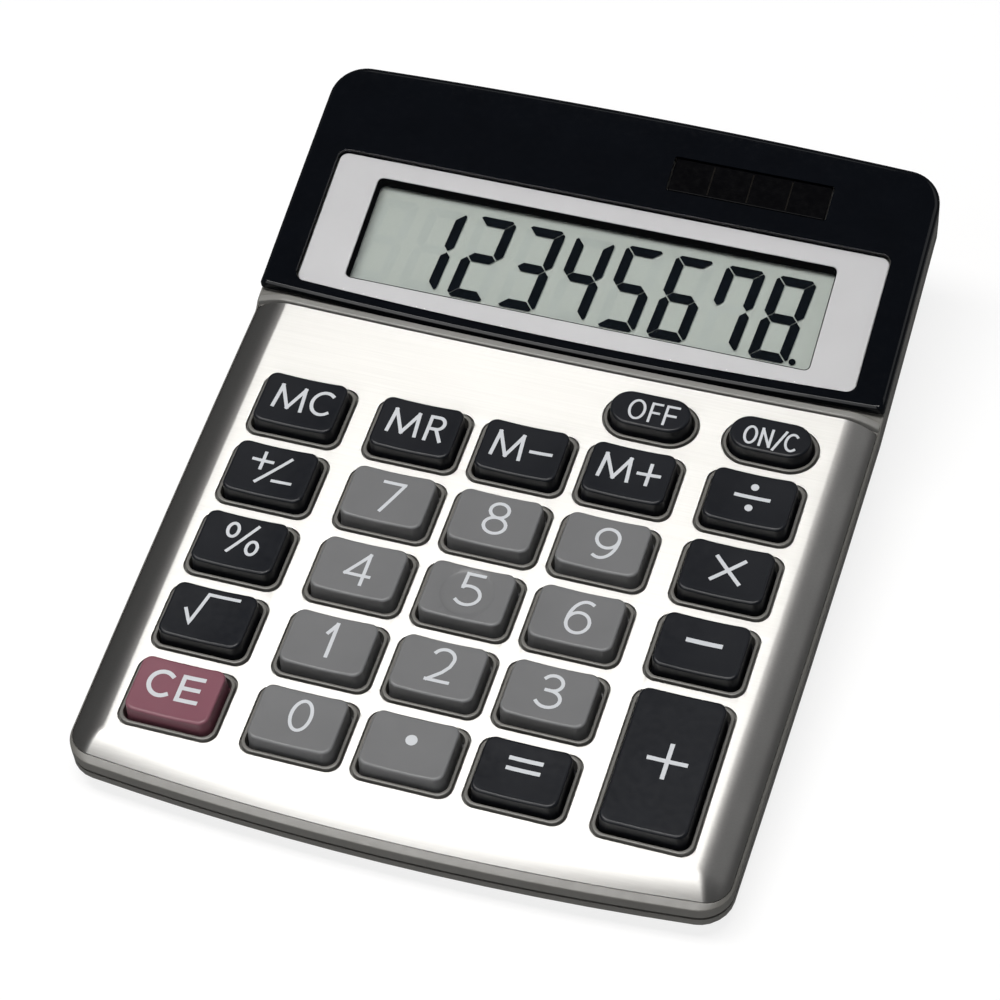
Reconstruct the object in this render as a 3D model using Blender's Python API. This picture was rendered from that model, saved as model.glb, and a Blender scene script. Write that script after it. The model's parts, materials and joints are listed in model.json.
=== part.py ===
"""A desk calculator: brushed keyboard plate, tilted display end and 26 sprung keys.

Sizes below are in millimetres, and every mesh is written in metres, +Z up. Most pieces are modelled in
the deck frame, which lies on the keyboard plate: X to the right, Y from the front row of keys to the
display, Z square out of the plate, origin on the plate at the front edge of the front row. The display
end is folded up from it by DISPLAY_TILT at the line Y = FOLD_Y.
"""

import math

import bmesh
import bpy
from mathutils import Euler, Vector
from mathutils.geometry import delaunay_2d_cdt

MM = 0.001

# Where the deck frame stands in the world, whose origin is on the desk under the middle of the object.
DECK_TILT = math.radians(5.0)
DECK_Y = -63.5
DECK_Z = 11.2

# Outline of the case, seen square to the plate.
FOLD_Y = 88.0
DISPLAY_TILT = math.radians(10.7)
HALF_WIDTH = 54.3
WAIST_Y = 95.0
SIDE_BOW = 0.92
FRONT_Y = -9.05
BACK_Y = 135.25
FRONT_BOW = 2.09
BACK_BOW = 0.8
BOW_SPAN = 45.0
FRONT_CORNER = 5.5
BACK_CORNER = 6.2
SIDE_STATIONS = (18.0, 42.0, 66.0, 87.0, FOLD_Y, 112.0)
FRONT_STEPS = 12
BACK_STEPS = 12
CORNER_STEPS = 6

# Seam between the keyboard plate and the display end.
SEAM_BOW = 0.5
SEAM_HALF = 46.0
CROSSBAR_FRONT = 86.4
CROSSBAR_BACK = 87.75
CROSSBAR_TOP = 0.35
PANEL_FRONT = 88.1
PANEL_BOW = 0.9

# Rim of the case, as heights above the plate or the display plane.
LEDGE_INNER = 1.0
LEDGE_OUTER_Z = -2.95
LEDGE_INNER_Z = -2.65
DISPLAY_RIM_Z = -1.6
PARTING_Z = -5.3
PARTING_GAP = 0.3
RIM_BOTTOM_Z = -8.6
DECK_INSET = 5.4
DECK_TOP_Z = -0.85
DISPLAY_DECK_Z = -1.05
DECK_THICK = 1.5
WALL = 1.9

# Wedge under the rim. Its floor is level.
FLOOR_Z = 1.2
FLOOR_THICK = 1.8
WEDGE_STEP = 2.0
WEDGE_SLOPE = 0.36
FLOOR_FRONT_INSET = 4.2
FLOOR_BACK_INSET = 11.0

# Keyboard plate.
PLATE_THICK = 0.5
PLATE_EDGE = 1.25
PLATE_BACK_GAP = 0.3
ROLL_OFF = ((5.2, 0.0), (4.15, -0.27), (3.0, -0.8), (2.0, -1.55), (PLATE_EDGE, -2.45))

# Keys: the collar round each one, and the cap inside it.
COLUMNS = (-38.15, -18.0, 0.0, 18.0, 38.15)
ROW_FRONTS = (58.63, 43.97, 29.30, 14.65, 0.0)
OPENING = (16.55, 13.05)
TALL_OPENING = 27.7
PILL_OPENING = (16.2, 9.6)
PILL_Y = 78.1
OPENING_CORNER = 2.3
COLLAR_GAP = 0.3
COLLAR_WALL = 0.52
COLLAR_TOP = 0.35
CAP_GAP = 0.37
CAP_TOP = 3.0
CAP_TAPER = 0.2
CAP_WALL = 1.2
CAP_ROOF = 1.0
FLANGE = 0.62
FLANGE_TOP = -2.65
FLANGE_BOTTOM = -3.4
CORNER_SEGMENTS = 2
PILL_SEGMENTS = 4

# Rubber keypad and circuit board.
RUBBER_TOP = -5.0
RUBBER_BOTTOM = -6.0
PCB_TOP = -6.3
PCB_BOTTOM = -7.5
PCB_BOX = (-45.0, 0.8, 45.0, 84.0)
CHIP_CENTRE = (-14.0, 70.0)
DOME_RADIUS = 4.4
DOME_TOP_RADIUS = 2.9
DOME_TOP = -3.9
PLUNGER_RADIUS = 1.9
PLUNGER_TOP = 0.7
DOME_HOLLOW_RADIUS = 3.8
DOME_HOLLOW_TOP = -4.6
DOME_HOLLOW_TOP_RADIUS = 2.4

# Display end, in the display plane: X, and S up the slope from the fold.
PANEL_TOP = 0.9
PANEL_BOTTOM = -0.7
SKIRT_FRONT = 92.0
LENS_OPENING = (0.1, 16.1, 97.6, 27.9)
LENS_CORNER = 1.75
LENS_BOW = 1.1
LENS_GAP = 0.25
LENS_BOTTOM = 0.1
FRAME_TOP = -0.1
FRAME_BOTTOM = -0.6
LCD_CENTRE = (-0.05, 16.25)
LCD_WINDOW = (80.8, 19.9)
WINDOW_CORNER = 0.9
HOLDER_COLLAR = (87.6, 26.2)
HOLDER_OUTER = (90.4, 27.4)
HOLDER_TOP = -0.95
HOLDER_STEP = -2.9
HOLDER_BOTTOM = -5.5
LCD_SIZE = (85.4, 24.0)
LCD_TOP = -2.95
LCD_BOTTOM = -5.1
LCD_POCKET_TOP = -2.65
SOLAR_CENTRE = (22.4, 37.5)
SOLAR_OPENING = (27.9, 6.9)
SOLAR_GAP = 0.3
SOLAR_TOP = 0.72
SOLAR_BOTTOM = -0.7
WIRE_HOLE = (11.5, 37.5)

# Fasteners, as places on the plate or the display deck.
CASE_SCREWS = ((-28.08, 28.5), (28.08, 28.5), (-28.08, 72.6), (28.08, 72.6), (-40.0, 121.2), (40.0, 121.2))
PCB_SCREWS = ((-9.0, 13.85), (9.0, 57.82))
BOSS_RADIUS = 2.2
BOSS_BORE = 1.3
BORE_DEPTH = 4.6
PCB_BOSS_RADIUS = 1.7
PCB_BOSS_BORE = 1.0
PCB_BORE_DEPTH = 3.4
PILLAR_RADIUS = 3.2
HEAD_RADIUS = 1.9
HEAD_HEIGHT = 1.3
SHANK_RADIUS = 0.95
CLEARANCE = 0.35

# Battery bay at the back of the floor, in the world frame.
BAY_HALF = 19.5
BAY_FRONT = 35.5
BAY_TOP = 12.2
DOOR_FRONT = 37.4
DOOR_HALF = 15.7
DOOR_FLANGE_HALF = 17.7
DOOR_RAIL_Z = 2.9
DOOR_FLANGE_Z = 3.2
DOOR_TOP_Z = 4.1
CHANNEL_TOP_Z = 4.4
DOOR_BACK = 61.9
GRIP_COUNT = 4
GRIP_BACK = 58.0
GRIP_PITCH = 2.2
GRIP_WIDTH = 1.1
GRIP_DEPTH = 0.5
GRIP_HALF = 7.0
CELL_CENTRE = (0.0, 47.0)
CELL_RADIUS = 5.8
CELL_BOTTOM = 4.7
CELL_TOP = 10.1
NEST_RADIUS = 6.1
NEST_TOP = 10.95

# Feet, in the world frame.
FEET = ((-38.0, -56.0), (38.0, -56.0), (-34.0, 49.0), (34.0, 49.0))
FOOT_RADIUS = 4.5
FOOT_TOP = 1.55
FOOT_RECESS = 1.85

KEYS = (
    ("key_memory_clear", 0, 0, "function"),
    ("key_memory_recall", 1, 0, "function"),
    ("key_memory_subtract", 2, 0, "function"),
    ("key_memory_add", 3, 0, "function"),
    ("key_divide", 4, 0, "function"),
    ("key_change_sign", 0, 1, "function"),
    ("key_7", 1, 1, "number"),
    ("key_8", 2, 1, "number"),
    ("key_9", 3, 1, "number"),
    ("key_multiply", 4, 1, "function"),
    ("key_percent", 0, 2, "function"),
    ("key_4", 1, 2, "number"),
    ("key_5", 2, 2, "number"),
    ("key_6", 3, 2, "number"),
    ("key_subtract", 4, 2, "function"),
    ("key_square_root", 0, 3, "function"),
    ("key_1", 1, 3, "number"),
    ("key_2", 2, 3, "number"),
    ("key_3", 3, 3, "number"),
    ("key_clear_entry", 0, 4, "clear"),
    ("key_0", 1, 4, "number"),
    ("key_decimal_point", 2, 4, "number"),
    ("key_equals", 3, 4, "function"),
    ("key_add", 4, 4, "tall"),
    ("key_off", 3, None, "pill"),
    ("key_on_clear", 4, None, "pill"),
)


# Frames


def clear_scene():
    for obj in list(bpy.data.objects):
        bpy.data.objects.remove(obj)


def make_frame(name, location, tilt, parent=None):
    frame = bpy.data.objects.new(name, None)
    frame.location = Vector(location) * MM
    frame.rotation_euler = Euler((tilt, 0.0, 0.0))
    frame.parent = parent
    bpy.context.scene.collection.objects.link(frame)
    return frame


def deck_to_world(x, y, z):
    """World place of a point of the deck frame."""
    cos, sin = math.cos(DECK_TILT), math.sin(DECK_TILT)
    return Vector((x, DECK_Y + y * cos - z * sin, DECK_Z + y * sin + z * cos))


def display_to_world(x, s, n):
    """World place of a point of the display plane, n square out of it."""
    cos, sin = math.cos(DISPLAY_TILT), math.sin(DISPLAY_TILT)
    return deck_to_world(x, FOLD_Y + s * cos - n * sin, s * sin + n * cos)


# Materials


def make_material(name, colour, roughness, metallic=0.0, alpha=1.0):
    material = bpy.data.materials.new(name)
    material.use_nodes = True
    shader = material.node_tree.nodes["Principled BSDF"]
    shader.inputs["Base Color"].default_value = (*colour, 1.0)
    shader.inputs["Roughness"].default_value = roughness
    shader.inputs["Metallic"].default_value = metallic
    shader.inputs["Alpha"].default_value = alpha
    material.diffuse_color = (*colour, alpha)
    return material


def make_materials():
    return {
        "case": make_material("case_grey", (0.17, 0.165, 0.155), 0.42),
        "plate": make_material("brushed_plate", (0.80, 0.78, 0.75), 0.32, 1.0),
        "panel": make_material("panel_black", (0.012, 0.013, 0.017), 0.12),
        "lens": make_material("lens_clear", (0.92, 0.94, 0.94), 0.04, 0.0, 0.35),
        "frame": make_material("frame_silver", (0.56, 0.56, 0.58), 0.38, 0.2),
        "holder": make_material("holder_black", (0.02, 0.02, 0.02), 0.6),
        "lcd": make_material("lcd_glass", (0.36, 0.41, 0.37), 0.15),
        "flex": make_material("flex_amber", (0.45, 0.24, 0.06), 0.4),
        "solar": make_material("solar_dark", (0.015, 0.013, 0.02), 0.2),
        "pcb": make_material("pcb_green", (0.05, 0.22, 0.08), 0.45),
        "chip": make_material("chip_resin", (0.01, 0.01, 0.01), 0.3),
        "rubber": make_material("keypad_silicone", (0.55, 0.56, 0.55), 0.7),
        "foot": make_material("foot_rubber", (0.03, 0.03, 0.03), 0.85),
        "steel": make_material("screw_steel", (0.55, 0.55, 0.55), 0.3, 1.0),
        "cell": make_material("cell_steel", (0.72, 0.72, 0.70), 0.22, 1.0),
        "spring": make_material("contact_nickel", (0.66, 0.63, 0.55), 0.28, 1.0),
        "red_wire": make_material("wire_red", (0.45, 0.03, 0.03), 0.5),
        "black_wire": make_material("wire_black", (0.02, 0.02, 0.02), 0.5),
        "number": make_material("key_grey", (0.17, 0.18, 0.19), 0.38),
        "function": make_material("key_charcoal", (0.018, 0.02, 0.024), 0.36),
        "clear": make_material("key_maroon", (0.22, 0.09, 0.12), 0.38),
    }


# Outlines and heights


def side_half(y):
    """Half of the case's width at Y."""
    return HALF_WIDTH - SIDE_BOW * ((WAIST_Y - y) / WAIST_Y) ** 2


def front_line(x):
    return FRONT_Y + FRONT_BOW * (x / BOW_SPAN) ** 2


def back_line(x):
    return BACK_Y - BACK_BOW * (x / BOW_SPAN) ** 2


def seam_line(y, x, bow=SEAM_BOW):
    """Y of a line across the case that is bowed towards the front in its middle."""
    return y + bow * (x / SEAM_HALF) ** 2


def fold_height(y):
    """Height of the keyboard plane and, behind the fold, of the display plane."""
    return max(0.0, y - FOLD_Y) * math.tan(DISPLAY_TILT)


def floor_height(y, above=0.0):
    """Height in the deck frame of the level floor, or of a level plane above it."""
    return (FLOOR_Z + above - DECK_Z - y * math.sin(DECK_TILT)) / math.cos(DECK_TILT)


def wedge_inset(y):
    """How far the floor's edge lies inside the rim at Y."""
    return WEDGE_STEP + 1.0 + WEDGE_SLOPE * (fold_height(y) + RIM_BOTTOM_Z - floor_height(y))


def slope_of(line, t):
    return (line(t + 0.01) - line(t - 0.01)) / 0.02


def corner(side, edge, sign, radius):
    """Centre of the round corner that joins a side to the front (sign -1) or the back (sign 1) edge.

    It returns the centre and the two angles at which the corner meets the edge and the side.
    """
    x, y = side(edge(0.0)) - radius, edge(0.0) - sign * radius
    edge_angle = side_angle = 0.0
    for _ in range(12):
        edge_angle = math.atan2(sign, -sign * slope_of(edge, x + radius * math.cos(edge_angle)))
        side_angle = math.atan2(-slope_of(side, y + radius * math.sin(side_angle)), 1.0)
        x = side(y + radius * math.sin(side_angle)) - radius * math.cos(side_angle)
        y = edge(x + radius * math.cos(edge_angle)) - radius * math.sin(edge_angle)
    return (x, y), edge_angle, side_angle


def arc(centre, radius, start, end, steps):
    angles = [start + (end - start) * i / steps for i in range(steps + 1)]
    return [(centre[0] + radius * math.cos(a), centre[1] + radius * math.sin(a)) for a in angles]


def mirrored(points):
    """The same open line on the left side, in reverse order."""
    return [(-x, y) for x, y in reversed(points)]


def edge_points(edge, x_end, steps, sign):
    """Points across the case on a bowed edge, without its ends, from left to right if sign is 1."""
    xs = [x_end * (2 * i / steps - 1) for i in range(1, steps)]
    return [(sign * x, edge(sign * x)) for x in xs]


def outline(side, front, back, front_radius, back_radius):
    """Closed outline of the whole case, anticlockwise from the left end of the front edge."""
    low, low_edge, low_side = corner(side, front, -1, front_radius)
    high, high_edge, high_side = corner(side, back, 1, back_radius)
    right = arc(low, front_radius, low_edge, low_side, CORNER_STEPS)
    right += [(side(y), y) for y in SIDE_STATIONS]
    right += arc(high, back_radius, high_side, high_edge, CORNER_STEPS)
    front_end, back_end = right[0][0], right[-1][0]
    return (
        edge_points(front, front_end, FRONT_STEPS, 1)
        + right
        + edge_points(back, back_end, BACK_STEPS, -1)
        + mirrored(right)
    )


def case_outline(inset):
    """The case's outline moved inwards by inset."""
    return outline(
        lambda y: side_half(y) - inset,
        lambda x: front_line(x) + inset,
        lambda x: back_line(x) - inset,
        max(FRONT_CORNER - inset, 0.7),
        max(BACK_CORNER - inset, 0.7),
    )


def floor_outline(inset):
    """The edge of the level floor, moved inwards by inset."""
    return outline(
        lambda y: side_half(y) - wedge_inset(y) - inset,
        lambda x: front_line(x) + FLOOR_FRONT_INSET + inset,
        lambda x: back_line(x) - FLOOR_BACK_INSET - inset,
        4.0,
        5.0,
    )


def display_outline(inset):
    """The display end's outline from the seam back, moved inwards by inset."""
    front_y = PANEL_FRONT + inset
    high, high_edge, high_side = corner(
        lambda y: side_half(y) - inset, lambda x: back_line(x) - inset, 1, BACK_CORNER - inset
    )
    front_x = side_half(front_y) - inset
    right = [(front_x - 0.8, seam_line(front_y, front_x - 0.8, PANEL_BOW))]
    right += [(front_x, seam_line(front_y, front_x, PANEL_BOW) + 0.5)]
    right += [(side_half(y) - inset, y) for y in (SKIRT_FRONT, 112.0)]
    right += arc(high, BACK_CORNER - inset, high_side, high_edge, CORNER_STEPS)
    back_end = right[-1][0]
    front = edge_points(lambda x: seam_line(front_y, x, PANEL_BOW), right[0][0], FRONT_STEPS, 1)
    back = edge_points(lambda x: back_line(x) - inset, back_end, BACK_STEPS, -1)
    return front + right + back + mirrored(right)


def rounded_rectangle(centre, size, radius, segments):
    """Anticlockwise outline of a rectangle with round corners."""
    half_x, half_y = size[0] / 2 - radius, size[1] / 2 - radius
    points = []
    for quarter, (sx, sy) in enumerate(((1, 1), (-1, 1), (-1, -1), (1, -1))):
        middle = (centre[0] + sx * half_x, centre[1] + sy * half_y)
        start = quarter * math.pi / 2
        points += arc(middle, radius, start, start + math.pi / 2, segments)
    return points


def bowed_rectangle(centre, size, radius, segments, bow, steps=8):
    """As rounded_rectangle, but its front edge is bowed forwards by bow in its middle."""
    points = rounded_rectangle(centre, size, radius, segments)
    half = size[0] / 2 - radius
    front = [(centre[0] + half * (2 * i / steps - 1), centre[1] - size[1] / 2) for i in range(1, steps)]
    points = points[: 3 * (segments + 1)] + front + points[3 * (segments + 1) :]
    return [(x, y + bow * (x / SEAM_HALF) ** 2 if y < centre[1] else y) for x, y in points]


def circle(centre, radius, segments):
    return arc(centre, radius, 0.0, 2 * math.pi * (segments - 1) / segments, segments - 1)


# Mesh building


def loop(mesh, points, height):
    """Vertices on an outline. height is a number, or a function of X and Y."""
    return [mesh.verts.new((x, y, height(x, y) if callable(height) else height)) for x, y in points]


def band(mesh, lower, upper, closed=True):
    """Quads between two rows of vertices of the same length."""
    count = len(lower) if closed else len(lower) - 1
    for i in range(count):
        j = (i + 1) % len(lower)
        mesh.faces.new((lower[i], lower[j], upper[j], upper[i]))


def tube(mesh, rows):
    """Bands through a list of closed rows of vertices."""
    for lower, upper in zip(rows, rows[1:]):
        band(mesh, lower, upper)


def triangles(loops):
    """Triples of point indices that fill the first outline and leave the other outlines open."""
    points, outlines = [], []
    for row in loops:
        outlines.append(list(range(len(points), len(points) + len(row))))
        points += [Vector(point) for point in row]
    inside_only = 1
    _, _, faces, sources, _, owners = delaunay_2d_cdt(points, [], outlines, inside_only, 1e-7)
    return [[sources[i][0] for i in face] for face, owner in zip(faces, owners) if owner == [0]]


def fill(mesh, border, holes=()):
    """Triangles inside a border, seen along Z, that leave the holes open."""
    loops = [border, *holes]
    vertices = [vertex for row in loops for vertex in row]
    for triangle in triangles([[vertex.co.xy for vertex in row] for row in loops]):
        mesh.faces.new([vertices[i] for i in triangle])


def prism(mesh, points, bottom, top):
    lower, upper = loop(mesh, points, bottom), loop(mesh, points, top)
    band(mesh, lower, upper)
    fill(mesh, lower)
    fill(mesh, upper)


def add_turned(mesh, centre, rings, segments=12):
    """Closed solid of revolution through rings of a radius and a height, from the bottom up."""
    rows = [loop(mesh, circle(centre, radius, segments), height) for radius, height in rings]
    tube(mesh, rows)
    fill(mesh, rows[0])
    fill(mesh, rows[-1])


def add_cylinder(mesh, centre, radius, bottom, top, segments=16):
    add_turned(mesh, centre, ((radius, bottom), (radius, top)), segments)


def add_box(mesh, low, high):
    corners = [(low[0], low[1]), (high[0], low[1]), (high[0], high[1]), (low[0], high[1])]
    prism(mesh, corners, low[2], high[2])


def finish(mesh, name, material=None, parent=None, origin=(0.0, 0.0, 0.0), smooth_angle=30.0):
    """Turns a bmesh in millimetres into a named object with its origin at the given point."""
    bmesh.ops.recalc_face_normals(mesh, faces=mesh.faces)
    origin = Vector(origin)
    for vertex in mesh.verts:
        vertex.co = (vertex.co - origin) * MM
    data = bpy.data.meshes.new(name)
    mesh.to_mesh(data)
    mesh.free()
    data.shade_smooth()
    data.set_sharp_from_angle(angle=math.radians(smooth_angle))
    obj = bpy.data.objects.new(name, data)
    obj.location = origin * MM
    obj.parent = parent
    bpy.context.scene.collection.objects.link(obj)
    if material:
        data.materials.append(material)
    return obj


def add_boolean(obj, cutter, operation):
    cutter.hide_render = True
    cutter.display_type = "WIRE"
    modifier = obj.modifiers.new(cutter.name, "BOOLEAN")
    modifier.operation = operation
    modifier.object = cutter
    return modifier


# Keys


def key_shape(key):
    """Centre, opening size and corner radius of a key's collar, and the corner segments."""
    name, column, row, kind = key
    x = COLUMNS[column]
    if kind == "pill":
        return (x, PILL_Y), PILL_OPENING, PILL_OPENING[1] / 2, PILL_SEGMENTS
    height = TALL_OPENING if kind == "tall" else OPENING[1]
    return (x, ROW_FRONTS[row] + height / 2), (OPENING[0], height), OPENING_CORNER, CORNER_SEGMENTS


def key_outline(key, inset):
    """The outline of a key's opening moved inwards by inset. A pill keeps its full round ends."""
    centre, (width, height), radius, segments = key_shape(key)
    size = (width - 2 * inset, height - 2 * inset)
    radius = size[1] / 2 - 0.02 if key[3] == "pill" else radius - inset / 2
    return rounded_rectangle(centre, size, radius, segments)


def dome_centres(key):
    """One rubber dome under each key, and two under the tall one."""
    (x, y), (_, height), _, _ = key_shape(key)
    if key[3] != "tall":
        return [(x, y)]
    return [(x, y - height / 4), (x, y + height / 4)]


def make_key(key, materials, deck):
    """A hollow cap with a flange that holds it under the deck. Its origin is on the plate."""
    collar_inner = COLLAR_GAP + COLLAR_WALL
    base = collar_inner + CAP_GAP
    mesh = bmesh.new()
    flange = key_outline(key, base - CAP_GAP - FLANGE)
    rows = [
        loop(mesh, flange, FLANGE_BOTTOM),
        loop(mesh, flange, FLANGE_TOP),
        loop(mesh, key_outline(key, base), FLANGE_TOP),
        loop(mesh, key_outline(key, base + CAP_TAPER), CAP_TOP),
    ]
    hollow_low = loop(mesh, key_outline(key, base + CAP_WALL), FLANGE_BOTTOM)
    hollow_top = loop(mesh, key_outline(key, base + CAP_WALL), CAP_ROOF)
    tube(mesh, rows)
    tube(mesh, [rows[0], hollow_low, hollow_top])
    fill(mesh, rows[-1])
    fill(mesh, hollow_top)
    (x, y), _, _, _ = key_shape(key)
    slot = {"tall": "function", "pill": "function"}.get(key[3], key[3])
    return finish(mesh, key[0], materials[slot], deck, (x, y, 0.0))


# Case


def deck_loop_split(points):
    """Indices of the outline's points in front of the fold and behind it, both with those on the fold."""
    front = [i for i, (_, y) in enumerate(points) if y <= FOLD_Y + 1e-6]
    back = [i for i, (_, y) in enumerate(points) if y >= FOLD_Y - 1e-6]
    return front, back


def fill_folded(mesh, points, row, front_holes, back_holes):
    """Fills an outline in two flat parts that meet at the fold."""
    front, back = deck_loop_split(points)
    fill(mesh, [row[i] for i in front], front_holes)
    fill(mesh, [row[i] for i in back], back_holes)


def rim_top(x, y, inner):
    """Height of the upper case's rim: a ledge beside the plate, and a higher one beside the display."""
    if y > FOLD_Y - 0.5:
        return fold_height(y) + DISPLAY_RIM_Z
    return LEDGE_INNER_Z if inner else LEDGE_OUTER_Z


def gutter_floor(x, y):
    """Height of the groove for the plate's rolled edge. Beside the display it is only a crease."""
    return rim_top(x, y, True) - (0.05 if y > FOLD_Y - 0.5 else 0.75)


def deck_top(x, y):
    return fold_height(y) + (DISPLAY_DECK_Z if y > FOLD_Y - 0.5 else DECK_TOP_Z)


def deck_bottom(x, y):
    return deck_top(x, y) - DECK_THICK


def holder_hole():
    """The hole in the display deck that the LCD holder's collar passes through, in deck coordinates."""
    size = (HOLDER_COLLAR[0] + 0.7, HOLDER_COLLAR[1] + 1.1)
    outline_points = rounded_rectangle(LCD_CENTRE, size, 1.2, CORNER_SEGMENTS)
    return display_points(outline_points, DISPLAY_DECK_Z - DECK_THICK / 2)


def display_points(points, n):
    """Deck X and Y of points of the display plane at height n above it."""
    cos, sin = math.cos(DISPLAY_TILT), math.sin(DISPLAY_TILT)
    return [(x, FOLD_Y + s * cos - n * sin) for x, s in points]


def boss_bottom(y):
    """Height at which a case screw's boss meets its pillar."""
    return -7.9 if y < FOLD_Y else -3.0


def add_boss(mesh, place, radius, bore, bottom, depth):
    """Boss with a blind bore, hanging from the deck."""
    outer, inner = circle(place, radius, 10), circle(place, bore, 10)
    outer_low, outer_top = loop(mesh, outer, bottom), loop(mesh, outer, deck_bottom(*place) + 0.6)
    inner_low, inner_top = loop(mesh, inner, bottom), loop(mesh, inner, bottom + depth)
    tube(mesh, [outer_top, outer_low, inner_low, inner_top])
    fill(mesh, outer_top)
    fill(mesh, inner_top)


def add_crossbar(mesh):
    """Bar between plate and display end. Its top is level, and its ends run down to the rim."""
    stations = []
    for x in (48.9, 51.0, 52.7, 53.9):
        fall = ((x - 48.9) / 5.0) ** 1.4
        stations.append((x, CROSSBAR_TOP - 1.7 * fall, -1.6 - 1.9 * fall))
    flat = [(x, CROSSBAR_TOP, -1.6) for x in (0.0, 16.0, 32.0)]
    right = flat + stations
    stations = [(-x, top, low) for x, top, low in reversed(right[1:])] + right
    rows = []
    for x, top, low in stations:
        front, back = seam_line(CROSSBAR_FRONT, x), seam_line(CROSSBAR_BACK, x)
        profile = ((front, low), (back, low), (back, top), (front, top))
        rows.append([mesh.verts.new((x, y, z)) for y, z in profile])
    tube(mesh, rows)
    mesh.faces.new(rows[0])
    mesh.faces.new(rows[-1])


def make_upper_case(materials, deck):
    """Rim, key deck with a collar round each opening, cross-bar and display deck, in one moulding."""
    mesh = bmesh.new()
    rim_bottom = loop(mesh, case_outline(0.0), lambda x, y: fold_height(y) + PARTING_Z)
    rim_outer = loop(mesh, case_outline(0.0), lambda x, y: rim_top(x, y, False))
    rim_inner = loop(mesh, case_outline(LEDGE_INNER), lambda x, y: rim_top(x, y, True))
    gutter = loop(mesh, case_outline(LEDGE_INNER + 0.05), gutter_floor)
    top_points = case_outline(DECK_INSET)
    top = loop(mesh, top_points, deck_top)
    under_points = case_outline(DECK_INSET + 0.2)
    under = loop(mesh, under_points, deck_bottom)
    wall_inner = loop(mesh, case_outline(WALL - 0.3), lambda x, y: fold_height(y) + PARTING_Z)
    tube(mesh, [wall_inner, rim_bottom, rim_outer, rim_inner, gutter, top])
    band(mesh, wall_inner, under)

    collar_feet, collar_bottoms = [], []
    for key in KEYS:
        outer, inner = key_outline(key, COLLAR_GAP), key_outline(key, COLLAR_GAP + COLLAR_WALL)
        foot, outer_top = loop(mesh, outer, DECK_TOP_Z), loop(mesh, outer, COLLAR_TOP)
        inner_top, bottom = loop(mesh, inner, COLLAR_TOP), loop(mesh, inner, DECK_TOP_Z - DECK_THICK)
        tube(mesh, [foot, outer_top, inner_top, bottom])
        collar_feet.append(foot)
        collar_bottoms.append(bottom)

    wire = display_points(circle(WIRE_HOLE, 1.9, 8), DISPLAY_DECK_Z)
    display_tops, display_bottoms = [], []
    for hole in (holder_hole(), wire):
        display_tops.append(loop(mesh, hole, deck_top))
        display_bottoms.append(loop(mesh, hole, deck_bottom))
        band(mesh, display_tops[-1], display_bottoms[-1])
    fill_folded(mesh, top_points, top, collar_feet, display_tops)
    fill_folded(mesh, under_points, under, collar_bottoms, display_bottoms)
    upper = finish(mesh, "upper_case", materials["case"], deck)

    added = bmesh.new()
    add_crossbar(added)
    for x, y in CASE_SCREWS:
        add_boss(added, (x, y), BOSS_RADIUS, BOSS_BORE, boss_bottom(y), BORE_DEPTH)
    for x, y in PCB_SCREWS:
        add_boss(added, (x, y), PCB_BOSS_RADIUS, PCB_BOSS_BORE, RUBBER_BOTTOM, PCB_BORE_DEPTH)
    add_boolean(upper, finish(added, "upper_case_bosses", None, deck), "UNION")
    return upper


def seat_height(y):
    """Height of the face that a case screw's head bears on."""
    return -9.9 if y < FOLD_Y else -5.0


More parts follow.
